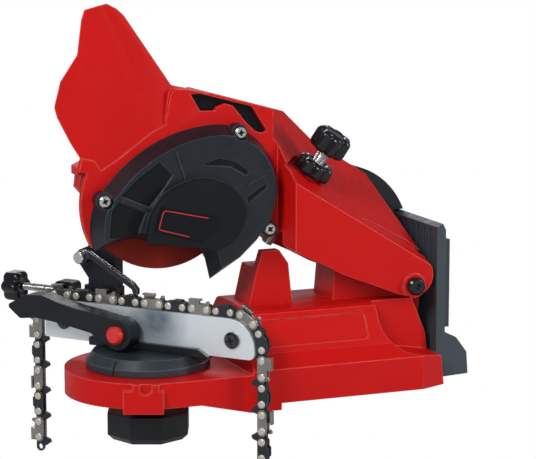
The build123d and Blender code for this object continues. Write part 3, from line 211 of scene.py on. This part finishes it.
RAIL_TURN = math.radians(50)
M = {
    "red": surface(
        "red_shell", (0.53, 0.006, 0.005), rough=0.40, spec=0.14, vary=0.05, grain=0.5,
        edge_tone=(0.88, 0.15, 0.12), edge_amount=0.9, round_mm=1.1,
    ),
    "black": surface(
        "black_satin", (0.007, 0.009, 0.012), rough=0.40, spec=0.3, vary=0.2,
        edge_tone=(0.07, 0.085, 0.10),
    ),
    "cover": surface(
        "cover_satin", (0.009, 0.012, 0.016), rough=0.36, spec=0.34, vary=0.2,
        edge_tone=(0.16, 0.19, 0.21), round_mm=0.8,
    ),
    "table": surface(
        "table_grey", (0.022, 0.030, 0.037), rough=0.34, vary=0.15,
        edge_tone=(0.20, 0.24, 0.27), round_mm=0.8,
    ),
    "gloss": surface(
        "gloss_black", (0.006, 0.007, 0.009), rough=0.16, spec=0.3, coat=0.25, vary=0.2,
        rough_vary=0.04, grain=0.08,
    ),
    "mount": surface(
        "mount_grey", (0.042, 0.056, 0.067), rough=0.5, spec=0.3, vary=0.12,
        edge_tone=(0.12, 0.14, 0.16),
    ),
    "plate": surface(
        "rail_zinc", (0.80, 0.87, 0.90), rough=0.36, metal=0.6, vary=0.03, rough_vary=0.05,
        grain=0.25, grain_scale=900.0, stretch=(0.06, 2.0, 1.0), turn_z=RAIL_TURN, round_mm=0.4,
    ),
    "zinc": surface(
        "bolt_zinc", (0.62, 0.62, 0.60), rough=0.32, metal=1.0, grain=0.3,
        edge_tone=(0.85, 0.85, 0.83),
    ),
    "oxide": surface(
        "black_oxide", (0.020, 0.022, 0.026), rough=0.30, metal=0.5, vary=0.2,
        edge_tone=(0.20, 0.21, 0.23), round_mm=0.3,
    ),
    "screw_black": surface(
        "screw_black", (0.008, 0.009, 0.010), rough=0.2, coat=0.5, vary=0.2, grain=0.1,
        round_mm=0.3,
    ),
    "pawl": surface(
        "pawl_steel", (0.030, 0.034, 0.040), rough=0.28, metal=0.6, vary=0.2,
        edge_tone=(0.75, 0.76, 0.78), edge_amount=0.9, round_mm=0.35,
    ),
    "screws": surface(
        "screw_zinc", (0.66, 0.66, 0.64), rough=0.28, metal=1.0, grain=0.3, round_mm=0.15,
    ),
    # painted shade: a dark, matt sheet for the recesses, which are dark only from shade
    "pocket": surface(
        "cover_pocket", (0.004, 0.005, 0.006), rough=0.55, spec=0.15, vary=0.3, round_mm=0.2,
    ),
    "badge": surface(
        "badge_black", (0.004, 0.005, 0.007), rough=0.22, spec=0.2, vary=0.2, rough_vary=0.04,
        grain=0.05,
    ),
    "boss": surface(
        "cover_boss", (0.004, 0.005, 0.006), rough=0.5, spec=0.18, vary=0.2, round_mm=0.8,
    ),
    "line": surface(
        "outline_red", (0.55, 0.02, 0.02), rough=0.35, vary=0.05, grain=0.1, round_mm=0.1,
    ),
    "links": surface(
        "chain_blued", (0.045, 0.049, 0.057), rough=0.36, metal=0.8, vary=0.35, grain=0.7,
        grain_scale=1500.0, edge_tone=(0.45, 0.44, 0.42), round_mm=0.25,
    ),
    "cutters": surface(
        "cutter_chrome", (0.28, 0.27, 0.25), rough=0.28, metal=0.85, vary=0.5, grain=0.6,
        grain_scale=1500.0, edge_tone=(0.95, 0.92, 0.86), edge_amount=0.9, round_mm=0.3,
    ),
    "rivets": surface(
        "rivet_nickel", (0.60, 0.56, 0.49), rough=0.36, metal=0.5, vary=0.15, grain=0.4,
        grain_scale=1800.0,
    ),
    "wheel": surface(
        "wheel_grit", (0.20, 0.016, 0.010), rough=0.95, spec=0.2, vary=0.25, grain=1.0,
        grain_scale=1400.0, round_mm=0.3,
    ),
    "red_gloss": surface(
        "red_gloss", (0.60, 0.016, 0.012), rough=0.25, coat=0.3, vary=0.05, grain=0.1,
    ),
    "brass": surface("brass", (0.62, 0.46, 0.20), rough=0.35, metal=1.0),
}

LOOKS = {
    "red": [
        "base_housing", "hinge_lug", "stop_post", "arm_housing", "head_housing", "thread_insert",
    ],
    "screws": ["wheel_cover_screws", "side_housing_screws", "bottom_screws"],
    "pawl": ["stop_pawl"],
    "black": [
        "bottom_plate", "terminal_block", "side_housing", "motor_housing", "motor_end_cap",
        "switch_frame", "swivel_lock_knob", "clamp_lever", "stop_bearing", "stop_carrier",
    ],
    "cover": ["wheel_cover"],
    "badge": ["cover_plate", "recess_panel"],
    "table": ["swivel_table"],
    "gloss": ["hinge_pin_head", "depth_knob", "depth_lock_nut", "stop_knob"],
    "mount": ["battery_mount"],
    "plate": ["rail_plate_near", "rail_plate_far"],
    "zinc": [
        "stop_pad", "hinge_pin", "spindle", "outer_flange", "spindle_nut", "depth_screw",
        "rail_nuts", "swivel_bolt", "clamp_bolt", "pawl_pin", "stop_rod",
    ],
    "oxide": ["rail_bracket"],
    "screw_black": ["rail_screws"],
    "links": ["chain_drive_links", "chain_tie_links"],
    "cutters": ["chain_cutters_left", "chain_cutters_right"],
    "wheel": ["grinding_wheel"],
    "red_gloss": ["clamp_cap", "power_switch"],
    "brass": ["terminal_blades"],
}
SMOOTH = math.radians(28)


def painted_reflection(mat, obj, at, near, far, tone):
    """Painted reflection: darkening of a bright surface that fades with the distance from a world
    point.
    """
    tree = mat.node_tree
    bsdf = next(n for n in tree.nodes if n.type == "BSDF_PRINCIPLED")
    away = tree.nodes.new("ShaderNodeVectorMath")
    away.operation = "DISTANCE"
    away.inputs[1].default_value = obj.matrix_world.inverted() @ at
    coords = object_coords(tree)
    link(tree, coords, away.inputs[0])
    fade = map_range(tree, away.outputs["Value"], (near, far), (0.9, 0.0))
    uneven = map_range(tree, noise_tex(tree, coords, 90.0), (0.3, 0.7), (0.75, 1.0))
    color = bsdf.inputs["Base Color"].links[0].from_socket
    mixed = mix_color(tree, math_node(tree, "MULTIPLY", fade, uneven), color, tone)
    link(tree, mixed, bsdf.inputs["Base Color"])


def dress(obj, mat):
    obj.data.materials.clear()
    obj.data.materials.append(mat)


def smooth_faces(mesh, limit=SMOOTH):
    mesh.shade_smooth()
    mesh.set_sharp_from_angle(angle=limit)


for look, nodes in LOOKS.items():
    for node in nodes:
        dress(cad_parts[node], M[look])
        smooth_faces(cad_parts[node].data)


# ------------------------------------------------------------ piece helpers
def piece_from(name, verts, faces, body, mat, smooth=SMOOTH):
    """Mesh object that rides a body and fills a colour slot; verts are in metres."""
    mesh = bpy.data.meshes.new(name)
    mesh.from_pydata(verts, [], faces)
    mesh.validate()
    mesh.update()
    obj = bpy.data.objects.new(name, mesh)
    bpy.context.scene.collection.objects.link(obj)
    dress(obj, mat)
    smooth_faces(mesh, smooth)
    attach(obj, body)
    return obj


def frame_of(origin, axis, side):
    """Matrix with its z along axis and its x near side; origin is in millimetres."""
    z = Vector(axis).normalized()
    x = (Vector(side) - z * Vector(side).dot(z)).normalized()
    y = z.cross(x)
    rot = Matrix((x, y, z)).transposed().to_4x4()
    return Matrix.Translation(Vector(origin) * MM) @ rot


def angles(count):
    return [2 * math.pi * k / count for k in range(count)]


def polar(place, r, a, z):
    """Point at radius r, angle a and height z of a placed axis; r and z are in millimetres."""
    return place @ (Vector((r * math.cos(a), r * math.sin(a), z)) * MM)


def circle(place, r, z, count):
    return [polar(place, r, a, z) for a in angles(count)]


def ring_mesh(rings, closed=True):
    """Faces between stacked rings of points with equal counts, with both ends capped."""
    count = len(rings[0])
    verts = [p for ring in rings for p in ring]
    faces = []
    for r in range(len(rings) - 1):
        for k in range(count):
            a, b = r * count + k, r * count + (k + 1) % count
            faces.append((a, b, b + count, a + count))
    if closed:
        faces.append(tuple(reversed(range(count))))
        last = (len(rings) - 1) * count
        faces.append(tuple(range(last, last + count)))
    return verts, faces


LOBE_STEPS = 20
LOBE_ROOT, LOBE_RISE, LOBE_POWER = 0.80, 0.20, 0.7
RIM_MOST, RIM_SHARE, RIM_STEPS = 3.4, 0.26, 5
DISH_SHARE = 0.55
DISH_RINGS = ((0, 0), (0.6, 0.7), (1.6, 1))
KNOB_SMOOTH = math.radians(40)


def star_knob(name, place, radius, height, lobes, body, node, bore=0.0, dish=0.0):
    """Lobed grip with rounded rims; dish sinks the middle of its top, bore opens it through."""
    count = lobes * LOBE_STEPS
    rim = min(RIM_MOST, height * RIM_SHARE)
    turns = [QUARTER * k / RIM_STEPS for k in range(RIM_STEPS + 1)]
    lower = [(rim * (1 - math.sin(a)), rim * (1 - math.cos(a))) for a in turns]
    outline = lower + [(inset, height - z) for inset, z in reversed(lower)]

    def lobed(a):
        wave = 0.5 + 0.5 * math.cos(lobes * a)
        return radius * (LOBE_ROOT + LOBE_RISE * wave ** LOBE_POWER)

    rings = [circle(place, bore, 0, count)] if bore else []
    for inset, z in outline:
        rings.append([polar(place, lobed(a) - inset, a, z) for a in angles(count)])
    for inset, share in DISH_RINGS:
        rings.append(circle(place, radius * DISH_SHARE - inset, height - dish * share, count))
    if bore:
        rings += [circle(place, bore, z, count) for z in (height - dish, 0)]
    verts, faces = ring_mesh(rings, closed=not bore)
    obj = piece_from(name, verts, faces, body, M["gloss"], KNOB_SMOOTH)
    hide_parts(node)


THREAD_SIDES, THREAD_STEPS = 24, 8
THREAD_DEPTH = 0.55
THREAD_CLEAR = 0.02
TIP_LENGTH, TIP_DROP = 1.5, 0.5
THREAD_SMOOTH = math.radians(60)


def threaded_rod(name, place, radius, length, pitch, body, node):
    """Rod with a real helix, whose thread runs out and whose ends taper over TIP_LENGTH."""
    rings = []
    count = int(length / pitch * THREAD_STEPS)
    for k in range(count + 1):
        z = length * k / count
        fade = min(1.0, z / TIP_LENGTH, (length - z) / TIP_LENGTH)
        ring = []
        for a in angles(THREAD_SIDES):
            phase = (z / pitch + a / (2 * math.pi)) % 1.0
            cut = THREAD_DEPTH * pitch * fade * (1 - abs(2 * phase - 1))
            r = radius - THREAD_CLEAR - cut - TIP_DROP * (1 - fade)
            ring.append(polar(place, r, a, z))
        rings.append(ring)
    verts, faces = ring_mesh(rings)
    obj = piece_from(name, verts, faces, body, M["screws"], THREAD_SMOOTH)
    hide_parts(node)


# ------------------------------------------------------------ red shell: head and arm as one skin
SEAM_X = -46.0 * MM
SEAM_SLACK = 1e-5


def joined_skin(name, nodes, body, mat):
    """The nodes' surfaces in one mesh, without the faces of the seam between them."""
    verts, faces = [], []
    for node in nodes:
        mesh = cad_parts[node].data
        start = len(verts)
        verts += [v.co.copy() for v in mesh.vertices]
        for poly in mesh.polygons:
            if all(abs(mesh.vertices[i].co.x - SEAM_X) < SEAM_SLACK for i in poly.vertices):
                continue
            faces.append(tuple(start + i for i in poly.vertices))
    obj = piece_from(name, verts, faces, body, mat)
    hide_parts(*nodes)
    return obj


upper_housing = joined_skin(
    "upper_housing", ["head_housing", "arm_housing"], "arm", M["red"],
)
FLAT_FOLD = math.radians(0.5)
LEAST_FOLD = math.radians(12)
SHARP_FOLD = math.radians(25)
SHELL_X, SHELL_Z = -0.075, 0.150
LUG_X, LUG_Z = -0.1495, 0.133
LEAN_SPREAD, LEAN_MOST = 0.08, 0.93


def round_edges(obj, wanted, width, segments, clamp):
    """Rounds the outward folds over LEAST_FOLD that wanted() picks; width is in millimetres."""
    mesh = bmesh.new()
    mesh.from_mesh(obj.data)
    bmesh.ops.remove_doubles(mesh, verts=mesh.verts, dist=1e-6)
    bmesh.ops.dissolve_limit(
        mesh, angle_limit=FLAT_FOLD, verts=mesh.verts, edges=mesh.edges,
        use_dissolve_boundaries=False,
    )
    mesh.normal_update()
    folds = [e for e in mesh.edges if len(e.link_faces) == 2 and e.is_convex]
    picked = [e for e in folds if e.calc_face_angle() > LEAST_FOLD and wanted(e)]
    bmesh.ops.bevel(
        mesh, geom=picked, offset=width * MM, offset_type="OFFSET", segments=segments,
        profile=0.5, affect="EDGES", clamp_overlap=clamp,
    )
    mesh.to_mesh(obj.data)
    mesh.free()
    smooth_faces(obj.data)


def on_shell(edge):
    """Upper part of the head shell."""
    return all(v.co.z > SHELL_Z and v.co.x < SHELL_X for v in edge.verts)


def profile_corner(edge):
    """Corner of the side outline: both faces lean alike to the Y axis."""
    a, b = (face.normal.y for face in edge.link_faces)
    return on_shell(edge) and abs(a - b) < LEAN_SPREAD and abs(a) < LEAN_MOST


def on_front_lug(edge):
    """Small lug at the front edge of the head."""
    return all(v.co.x < LUG_X and v.co.z > LUG_Z for v in edge.verts)


def sharp_fold(edge):
    return on_shell(edge) and edge.calc_face_angle() > SHARP_FOLD


round_edges(upper_housing, profile_corner, width=3.2, segments=5, clamp=False)
round_edges(upper_housing, on_front_lug, width=0.9, segments=3, clamp=True)
round_edges(upper_housing, sharp_fold, width=1.2, segments=3, clamp=True)


# ------------------------------------------------------------ prisms over outlines
def prism(points, place, low, high):
    """Closed prism over an outline; place(u, v, w) gives a point, w runs from low to high."""
    verts = [place(u, v, w) * MM for w in (low, high) for u, v in points]
    count = len(points)
    faces = [(k, (k + 1) % count, count + (k + 1) % count, count + k) for k in range(count)]
    faces += [tuple(reversed(range(count))), tuple(range(count, 2 * count))]
    return verts, faces


def prisms(name, items, body, mat):
    """One piece out of several prisms, with all normals outward."""
    verts, faces = [], []
    for item in items:
        v, f = prism(*item)
        start = len(verts)
        verts += v
        faces += [tuple(start + i for i in face) for face in f]
    obj = piece_from(name, verts, faces, body, mat)
    bpy.context.view_layer.update()
    fix = bmesh.new()
    fix.from_mesh(obj.data)
    bmesh.ops.recalc_face_normals(fix, faces=fix.faces)
    fix.to_mesh(obj.data)
    fix.free()
    return obj


def layers(outlines, place, face, proud, sunk):
    """Prisms that stand proud of a face on its near side and reach sunk into it."""
    return [(points, place, face - proud, face + sunk) for points in outlines]


def cross_points(cx, cz, reach, half, turn):
    """Outline of an upright cross, turned about its middle."""
    arm = [(reach, -half), (reach, half), (half, half)]
    points = []
    for k in range(4):
        c, s = math.cos(QUARTER * k + turn), math.sin(QUARTER * k + turn)
        points += [(cx + u * c - v * s, cz + u * s + v * c) for u, v in arm]
    return points


def circle_points(cx, cz, r):
    return [(cx + r * math.cos(a), cz + r * math.sin(a)) for a in angles(32)]


def ribbon(points, width):
    """Quads of even width along an open line."""
    quads = []
    for start, end in zip(points, points[1:]):
        (x0, z0), (x1, z1) = start, end
        side = Vector((z0 - z1, x1 - x0)).normalized() * width / 2
        quads.append([
            (x0 + side.x, z0 + side.y), (x1 + side.x, z1 + side.y),
            (x1 - side.x, z1 - side.y), (x0 - side.x, z0 - side.y),
        ])
    return quads


def upright(x, z, y):
    return Vector((x, y, z))


# ------------------------------------------------------------ wheel cover; outlines are (x, z)
BOSS_FRONT = -27.9 * MM
POCKET_Y = -19.8
COVER_Y = -21.0
COVER_HEAD_Y = -19.4
PLATE_Y = -28.8
POCKETS = [
    [
        (-137.2, 127), (-126, 137.2), (-113.6, 145.4), (-106, 137.9), (-112.6, 129),
        (-120.3, 119.9),
    ],
    [
        (-143.3, 118), (-139.3, 123.1), (-122.9, 116), (-126.7, 107), (-128.2, 101.8),
        (-144.7, 102.2),
    ],
    [(-85.4, 143), (-76, 146), (-64.9, 143.2), (-57.4, 137.2), (-58.7, 136), (-68.3, 141.6)],
    [(-57.3, 121.5), (-46, 128.4), (-46.3, 126.4), (-56.8, 119.1)],
]
RIBS = [
    [(-103.7, 151.2), (-102.9, 151.4), (-97.4, 135.4), (-98.2, 135.2)],
    [(-137.5, 124.2), (-136.4, 126.2), (-118.0, 118.2), (-124.4, 117.4)],
    [(-57.4, 130.2), (-45.3, 135.6), (-44.6, 134.6), (-57.8, 128.6)],
]
COVER_CROSSES = [
    cross_points(x, z, reach=2.0, half=0.42, turn=turn)
    for x, z, turn in ((-147, 124, 0.4), (-61, 161, 0.1), (-42, 101, 0.7))
]
PLATE_OUTLINE = [
    (-86, 112), (-112.6, 118), (-113.8, 117.6), (-114.6, 116.2), (-117, 107.8),
    (-116.6, 106.9), (-115.6, 106.5), (-98, 101.4),
]

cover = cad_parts["wheel_cover"]
bpy.context.view_layer.update()
cover.data.materials.append(M["boss"])
for poly in cover.data.polygons:
    if (cover.matrix_world @ poly.center).y < BOSS_FRONT:
        poly.material_index = 1
# painted shade on the floors of the cover's pockets
prisms(
    "cover_pocket_floors", layers(POCKETS, upright, POCKET_Y, proud=0.08, sunk=0.05),
    "arm", M["pocket"],
)
prisms(
    "cover_ribs", layers(RIBS, upright, COVER_Y, proud=0.55, sunk=0.05),
    "arm", M["cover"],
)
# painted shade: dark crosses in place of the shaded recesses of the cover screws
prisms(
    "screw_recesses", layers(COVER_CROSSES, upright, COVER_HEAD_Y, proud=0.03, sunk=1.3),
    "arm", M["pocket"],
)
prisms(
    "plate_outline",
    layers(ribbon(PLATE_OUTLINE, width=0.55), upright, PLATE_Y, proud=0.06, sunk=0.04),
    "arm", M["line"],
)

# ------------------------------------------------------------ depth screw, its knob and lock nut
RISE, HEADING = math.radians(57.5), math.radians(-34.0)
SCREW_DIR = Vector((
    math.cos(RISE) * math.cos(HEADING), math.cos(RISE) * math.sin(HEADING), math.sin(RISE),
))
SCREW_SIDE = Vector((-SCREW_DIR.y, SCREW_DIR.x, 0))
SCREW_TIP = Vector((-35.2, 4.4, 88.8))
SCREW_LENGTH = 72.25
NUT_AT, GRIP_AT = 51.25, 68.25


def on_screw(t):
    return frame_of(SCREW_TIP + SCREW_DIR * t, SCREW_DIR, SCREW_SIDE)


threaded_rod(
    "depth_thread", on_screw(0), radius=4.0, length=SCREW_LENGTH, pitch=1.25,
    body="depth_rod", node="depth_screw",
)
star_knob(
    "depth_grip", on_screw(GRIP_AT), radius=12.0, height=14.0, lobes=7,
    body="depth_wheel", node="depth_knob", dish=0.8,
)
star_knob(
    "lock_nut_grip", on_screw(NUT_AT), radius=12.0, height=10.0, lobes=7,
    body="depth_nut", node="depth_lock_nut", bore=4.05, dish=1.2,
)

# ------------------------------------------------------------ chain stop: screw, knob and pawl
SWIVEL = Vector((-115.0, 0, 0))
RAIL = Vector((math.cos(-RAIL_TURN), math.sin(-RAIL_TURN), 0))
FAR = Vector((-RAIL.y, RAIL.x, 0))
STOP_N, ROD_Z = 8.0, 57.5


def on_rail(s, n, z):
    """Point s along the rails from the swivel's axis, n to their far side, z up."""
    return SWIVEL + RAIL * s + FAR * n + Vector((0, 0, z))


def beside_rail(s, z, n):
    return on_rail(s, n, z)


def on_rod(s):
    return frame_of(on_rail(s, STOP_N, ROD_Z), RAIL, FAR)


star_knob(
    "stop_grip", on_rod(-108), radius=10.0, height=12.0, lobes=6,
    body="stop_screw", node="stop_knob", dish=0.6,
)
threaded_rod(
    "stop_thread", on_rod(-95.9), radius=2.5, length=64.9, pitch=1.0,
    body="stop_slide", node="stop_rod",
)

# outlines of the pawl are (s, z)
FLANGE = [
    (-43, 86.1), (-40, 85.4), (-9.5, 68.6), (-6.4, 65.2), (-6.6, 61.7), (-8.8, 61.7),
    (-10.2, 65.0), (-38, 80.6), (-43, 81.4),
]
WEB = [(-41, 85.4), (-9.9, 68.3), (-10.4, 67.4), (-41.4, 84.5)]
HOOK = [(-9.6, 68.4), (-6.4, 65.2), (-6.6, 61.7), (-8.8, 61.7), (-10.2, 65.0), (-12.4, 66.3)]
HUB = circle_points(-45.5, 82.0, 4.3)
pawl_arm = prisms(
    "pawl_arm",
    [
        (FLANGE, beside_rail, -1.8, -1.0), (FLANGE, beside_rail, 1.0, 1.8),
        (WEB, beside_rail, -1.05, 1.05), (HOOK, beside_rail, -1.05, 1.05),
        (HUB, beside_rail, -3.7, 3.2),
    ],
    "pawl", M["pawl"],
)
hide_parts("stop_pawl")

# ------------------------------------------------------------ rails: painted reflection of the lever, painted shade in the screw recesses
bpy.context.view_layer.update()
# painted reflection: a bluish dark patch that stands in for the clamp lever mirrored in the near
# rail plate
painted_reflection(
    M["plate"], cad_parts["rail_plate_near"], on_rail(9.0, -3.85, 47.0) * MM,
    near=0.005, far=0.023, tone=(0.05, 0.10, 0.14),
)
RAIL_HEAD_N = -6.65
RAIL_CROSSES = [cross_points(s, 41.0, reach=2.3, half=0.5, turn=0.3) for s in (-58.0, 61.0)]
# painted shade: dark crosses in place of the shaded recesses of the rail screws
prisms(
    "rail_screw_recesses", layers(RAIL_CROSSES, beside_rail, RAIL_HEAD_N, proud=0.04, sunk=1),
    "table", M["pocket"],
)

# ------------------------------------------------------------ index mark of the table
TABLE_Z = 19.1
MARK_AT = math.radians(-142)
MARK_OUT = Vector((math.cos(MARK_AT), math.sin(MARK_AT), 0))
MARK_SIDE = Vector((-MARK_OUT.y, MARK_OUT.x, 0))
MARK_HALF = 0.45
MARK = [
    (36.9, 0.4), (38.18, 0.4), (38.18, 4.2), (37.8, 4.65), (34.9, 8.3), (34.0, 8.3),
    (36.9, 4.3),
]


def on_table(r, z, w):
    """Point at radius r from the swivel's axis and height z over the table's foot."""
    return SWIVEL + MARK_OUT * r + MARK_SIDE * w + Vector((0, 0, TABLE_Z + z))


prisms(
    "table_mark", [(MARK, on_table, -MARK_HALF, MARK_HALF)], "table", M["gloss"],
)

# ------------------------------------------------------------ sheet under the roof of the arm
CREASE_FRONT = Vector((-29.7, -30, 130.3))
CREASE_REAR = Vector((58.3, -30, 75.7))
ROOF_FAR = Vector((43.5, 30, 124.4))
ROOF_UP = (CREASE_REAR - CREASE_FRONT).cross(ROOF_FAR - CREASE_FRONT).normalized()
BACKING = [(8, -26.5), (56.5, -26.5), (52.5, -14), (8, -10)]


def under_roof(x, y, w):
    """Point over (x, y) at the distance w from the roof plane; a negative w is below it."""
    drop = (ROOF_UP.x * (x - CREASE_FRONT.x) + ROOF_UP.y * (y - CREASE_FRONT.y) - w) / ROOF_UP.z
    return Vector((x, y, CREASE_FRONT.z - drop))


# it closes an open wedge of arm_housing from inside
prisms("roof_backing", [(BACKING, under_roof, -1.2, -0.12)], "arm", M["red"])

# ------------------------------------------------------------ rivet heads of the chain
RAIL_TOP = 54.0
STRAP_HEIGHT = 3.1
LINE_Z = RAIL_TOP + STRAP_HEIGHT + 0.1
S_LEFT, S_RIGHT = -79.5, 80.0
R_LEFT, R_RIGHT = 16.0, 20.0
TURN_LEFT, TURN_RIGHT = S_LEFT + R_LEFT, S_RIGHT - R_RIGHT
PITCH = 8.255
STRAP_PITCH = 9.8
STRAP_SHIFT = 4.4
FIRST_LINK, LAST_LINK = -21, 21
LINK_THICK, LINK_GAP, STRAP_THICK = 1.5, 0.05, 1.4
STRAP_FACE = LINK_THICK / 2 + LINK_GAP + STRAP_THICK
HEAD_LIFT = 0.005
HEAD_SIDES = 18
HEAD_UNEVEN, HEAD_SCATTER = 0.03, 12.9
HEAD_SMOOTH = math.radians(50)
HEAD_PROFILE = [
    (2.28, 0.0), (2.36, 0.35), (2.30, 0.65), (1.95, 0.93), (1.3, 1.03), (0.5, 1.05),
]


def chain_point(t):
    """Rivet line at the distance t from the middle of the rails, as (s, z)."""
    if TURN_LEFT <= t <= TURN_RIGHT:
        return Vector((t, LINE_Z))
    if t > TURN_RIGHT:
        a = (t - TURN_RIGHT) / R_RIGHT
        if a < QUARTER:
            drop = R_RIGHT * (1 - math.cos(a))
            return Vector((TURN_RIGHT + R_RIGHT * math.sin(a), LINE_Z - drop))
        return Vector((S_RIGHT, LINE_Z - R_RIGHT - (t - TURN_RIGHT - R_RIGHT * QUARTER)))
    a = (TURN_LEFT - t) / R_LEFT
    if a < QUARTER:
        drop = R_LEFT * (1 - math.cos(a))
        return Vector((TURN_LEFT - R_LEFT * math.sin(a), LINE_Z - drop))
    return Vector((S_LEFT, LINE_Z - R_LEFT - (TURN_LEFT - t - R_LEFT * QUARTER)))


def next_rivet(t, length, way):
    """Place on the line whose straight distance from t is length, found by halving."""
    low, high = 0.0, 2 * length
    start = chain_point(t)
    for _ in range(40):
        mid = (low + high) / 2
        if (chain_point(t + way * mid) - start).length < length:
            low = mid
        else:
            high = mid
    return t + way * low


def rivet_gap(k):
    """Distance from rivet k to rivet k + 1: a strap spans the even ones."""
    return 2 * PITCH - STRAP_PITCH if k % 2 else STRAP_PITCH


rivets_at = {0: STRAP_SHIFT - STRAP_PITCH / 2, 1: STRAP_SHIFT + STRAP_PITCH / 2}
for k in range(1, LAST_LINK + 1):
    rivets_at[k + 1] = next_rivet(rivets_at[k], rivet_gap(k), 1)
for k in range(0, FIRST_LINK, -1):
    rivets_at[k - 1] = next_rivet(rivets_at[k], rivet_gap(k - 1), -1)


def rivet_heads():
    """Peened heads on both faces of the chain, a little uneven from one to the next."""
    verts, faces = [], []
    for k in range(FIRST_LINK + 1, LAST_LINK + 1):
        p = chain_point(rivets_at[k])
        for side in (-1, 1):
            size = 1.0 - HEAD_UNEVEN * math.sin(HEAD_SCATTER * k + side)
            rings = []
            for r, h in HEAD_PROFILE:
                n = side * (STRAP_FACE + HEAD_LIFT + h)
                rings.append([
                    on_rail(p.x + size * r * math.cos(a), n, p.y + size * r * math.sin(a)) * MM
                    for a in angles(HEAD_SIDES)
                ])
            v, f = ring_mesh(rings)
            start = len(verts)
            verts += v
            outward = [face if side > 0 else reversed(face) for face in f]
            faces += [tuple(start + i for i in face) for face in outward]
    piece_from("rivet_heads", verts, faces, "table", M["rivets"], HEAD_SMOOTH)


rivet_heads()

# ------------------------------------------------------------ floor
FLOOR_DROP = 0.0005
FLOOR_HALF = 6.0
floor_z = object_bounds()[0][2] - FLOOR_DROP
floor_mesh = bpy.data.meshes.new("floor")
corners = [(x * FLOOR_HALF, y * FLOOR_HALF) for x, y in ((-1, -1), (1, -1), (1, 1), (-1, 1))]
floor_mesh.from_pydata([(x, y, floor_z) for x, y in corners], [], [(0, 1, 2, 3)])
floor = bpy.data.objects.new("floor", floor_mesh)
bpy.context.scene.collection.objects.link(floor)

# the camera sees a white floor, and the light a pale grey one
floor_mat = bpy.data.materials.new("pale_floor")
tree = fresh_tree(floor_mat)
glow = tree.nodes.new("ShaderNodeEmission")
glow.inputs["Color"].default_value = (1, 1, 1, 1)
glow.inputs["Strength"].default_value = 1.0
matt = tree.nodes.new("ShaderNodeBsdfDiffuse")
matt.inputs["Color"].default_value = (0.62, 0.62, 0.63, 1)
path = tree.nodes.new("ShaderNodeLightPath")
out = tree.nodes.new("ShaderNodeOutputMaterial")
shown_and_lit(tree, out, path.outputs["Is Camera Ray"], lit=matt, shown=glow)
floor_mesh.materials.append(floor_mat)

# ------------------------------------------------------------ lights
AIM = Vector((-0.05, 0, 0.10))


def area_light(name, at, size, power, color=(1, 1, 1)):
    """Rectangular light at a place in metres, turned to the part."""
    data = bpy.data.lights.new(name, "AREA")
    data.shape = "RECTANGLE"
    data.size, data.size_y = size
    data.energy = power
    data.color = color
    obj = bpy.data.objects.new(name, data)
    bpy.context.scene.collection.objects.link(obj)
    obj.location = at
    obj.rotation_euler = (AIM - Vector(at)).to_track_quat("-Z", "Y").to_euler()


area_light("key_upper_left", (-1.3, -0.9, 1.25), size=(0.7, 0.7), power=23, color=(1, 0.99, 0.98))
area_light("front_soft", (-0.5, -1.8, 0.6), size=(1.0, 0.8), power=5)
area_light("right_fill", (1.2, -1.0, 0.45), size=(0.35, 0.8), power=12, color=(0.93, 0.97, 1))
area_light("rim_back", (0.2, 1.4, 1.1), size=(1.2, 0.6), power=10)

# ------------------------------------------------------------ world: white to the eye, grey light
world = bpy.data.worlds.new("studio")
bpy.context.scene.world = world
tree = fresh_tree(world)
ambient = tree.nodes.new("ShaderNodeBackground")
ambient.inputs["Color"].default_value = (0.22, 0.23, 0.25, 1)
white = tree.nodes.new("ShaderNodeBackground")
white.inputs["Color"].default_value = (1, 1, 1, 1)
path = tree.nodes.new("ShaderNodeLightPath")
eye_rays = [path.outputs[ray] for ray in ("Is Camera Ray", "Is Transmission Ray")]
out = tree.nodes.new("ShaderNodeOutputWorld")
shown_and_lit(tree, out, math_node(tree, "MAXIMUM", *eye_rays), lit=ambient, shown=white)
bpy.context.scene.view_settings.view_transform = "Standard"
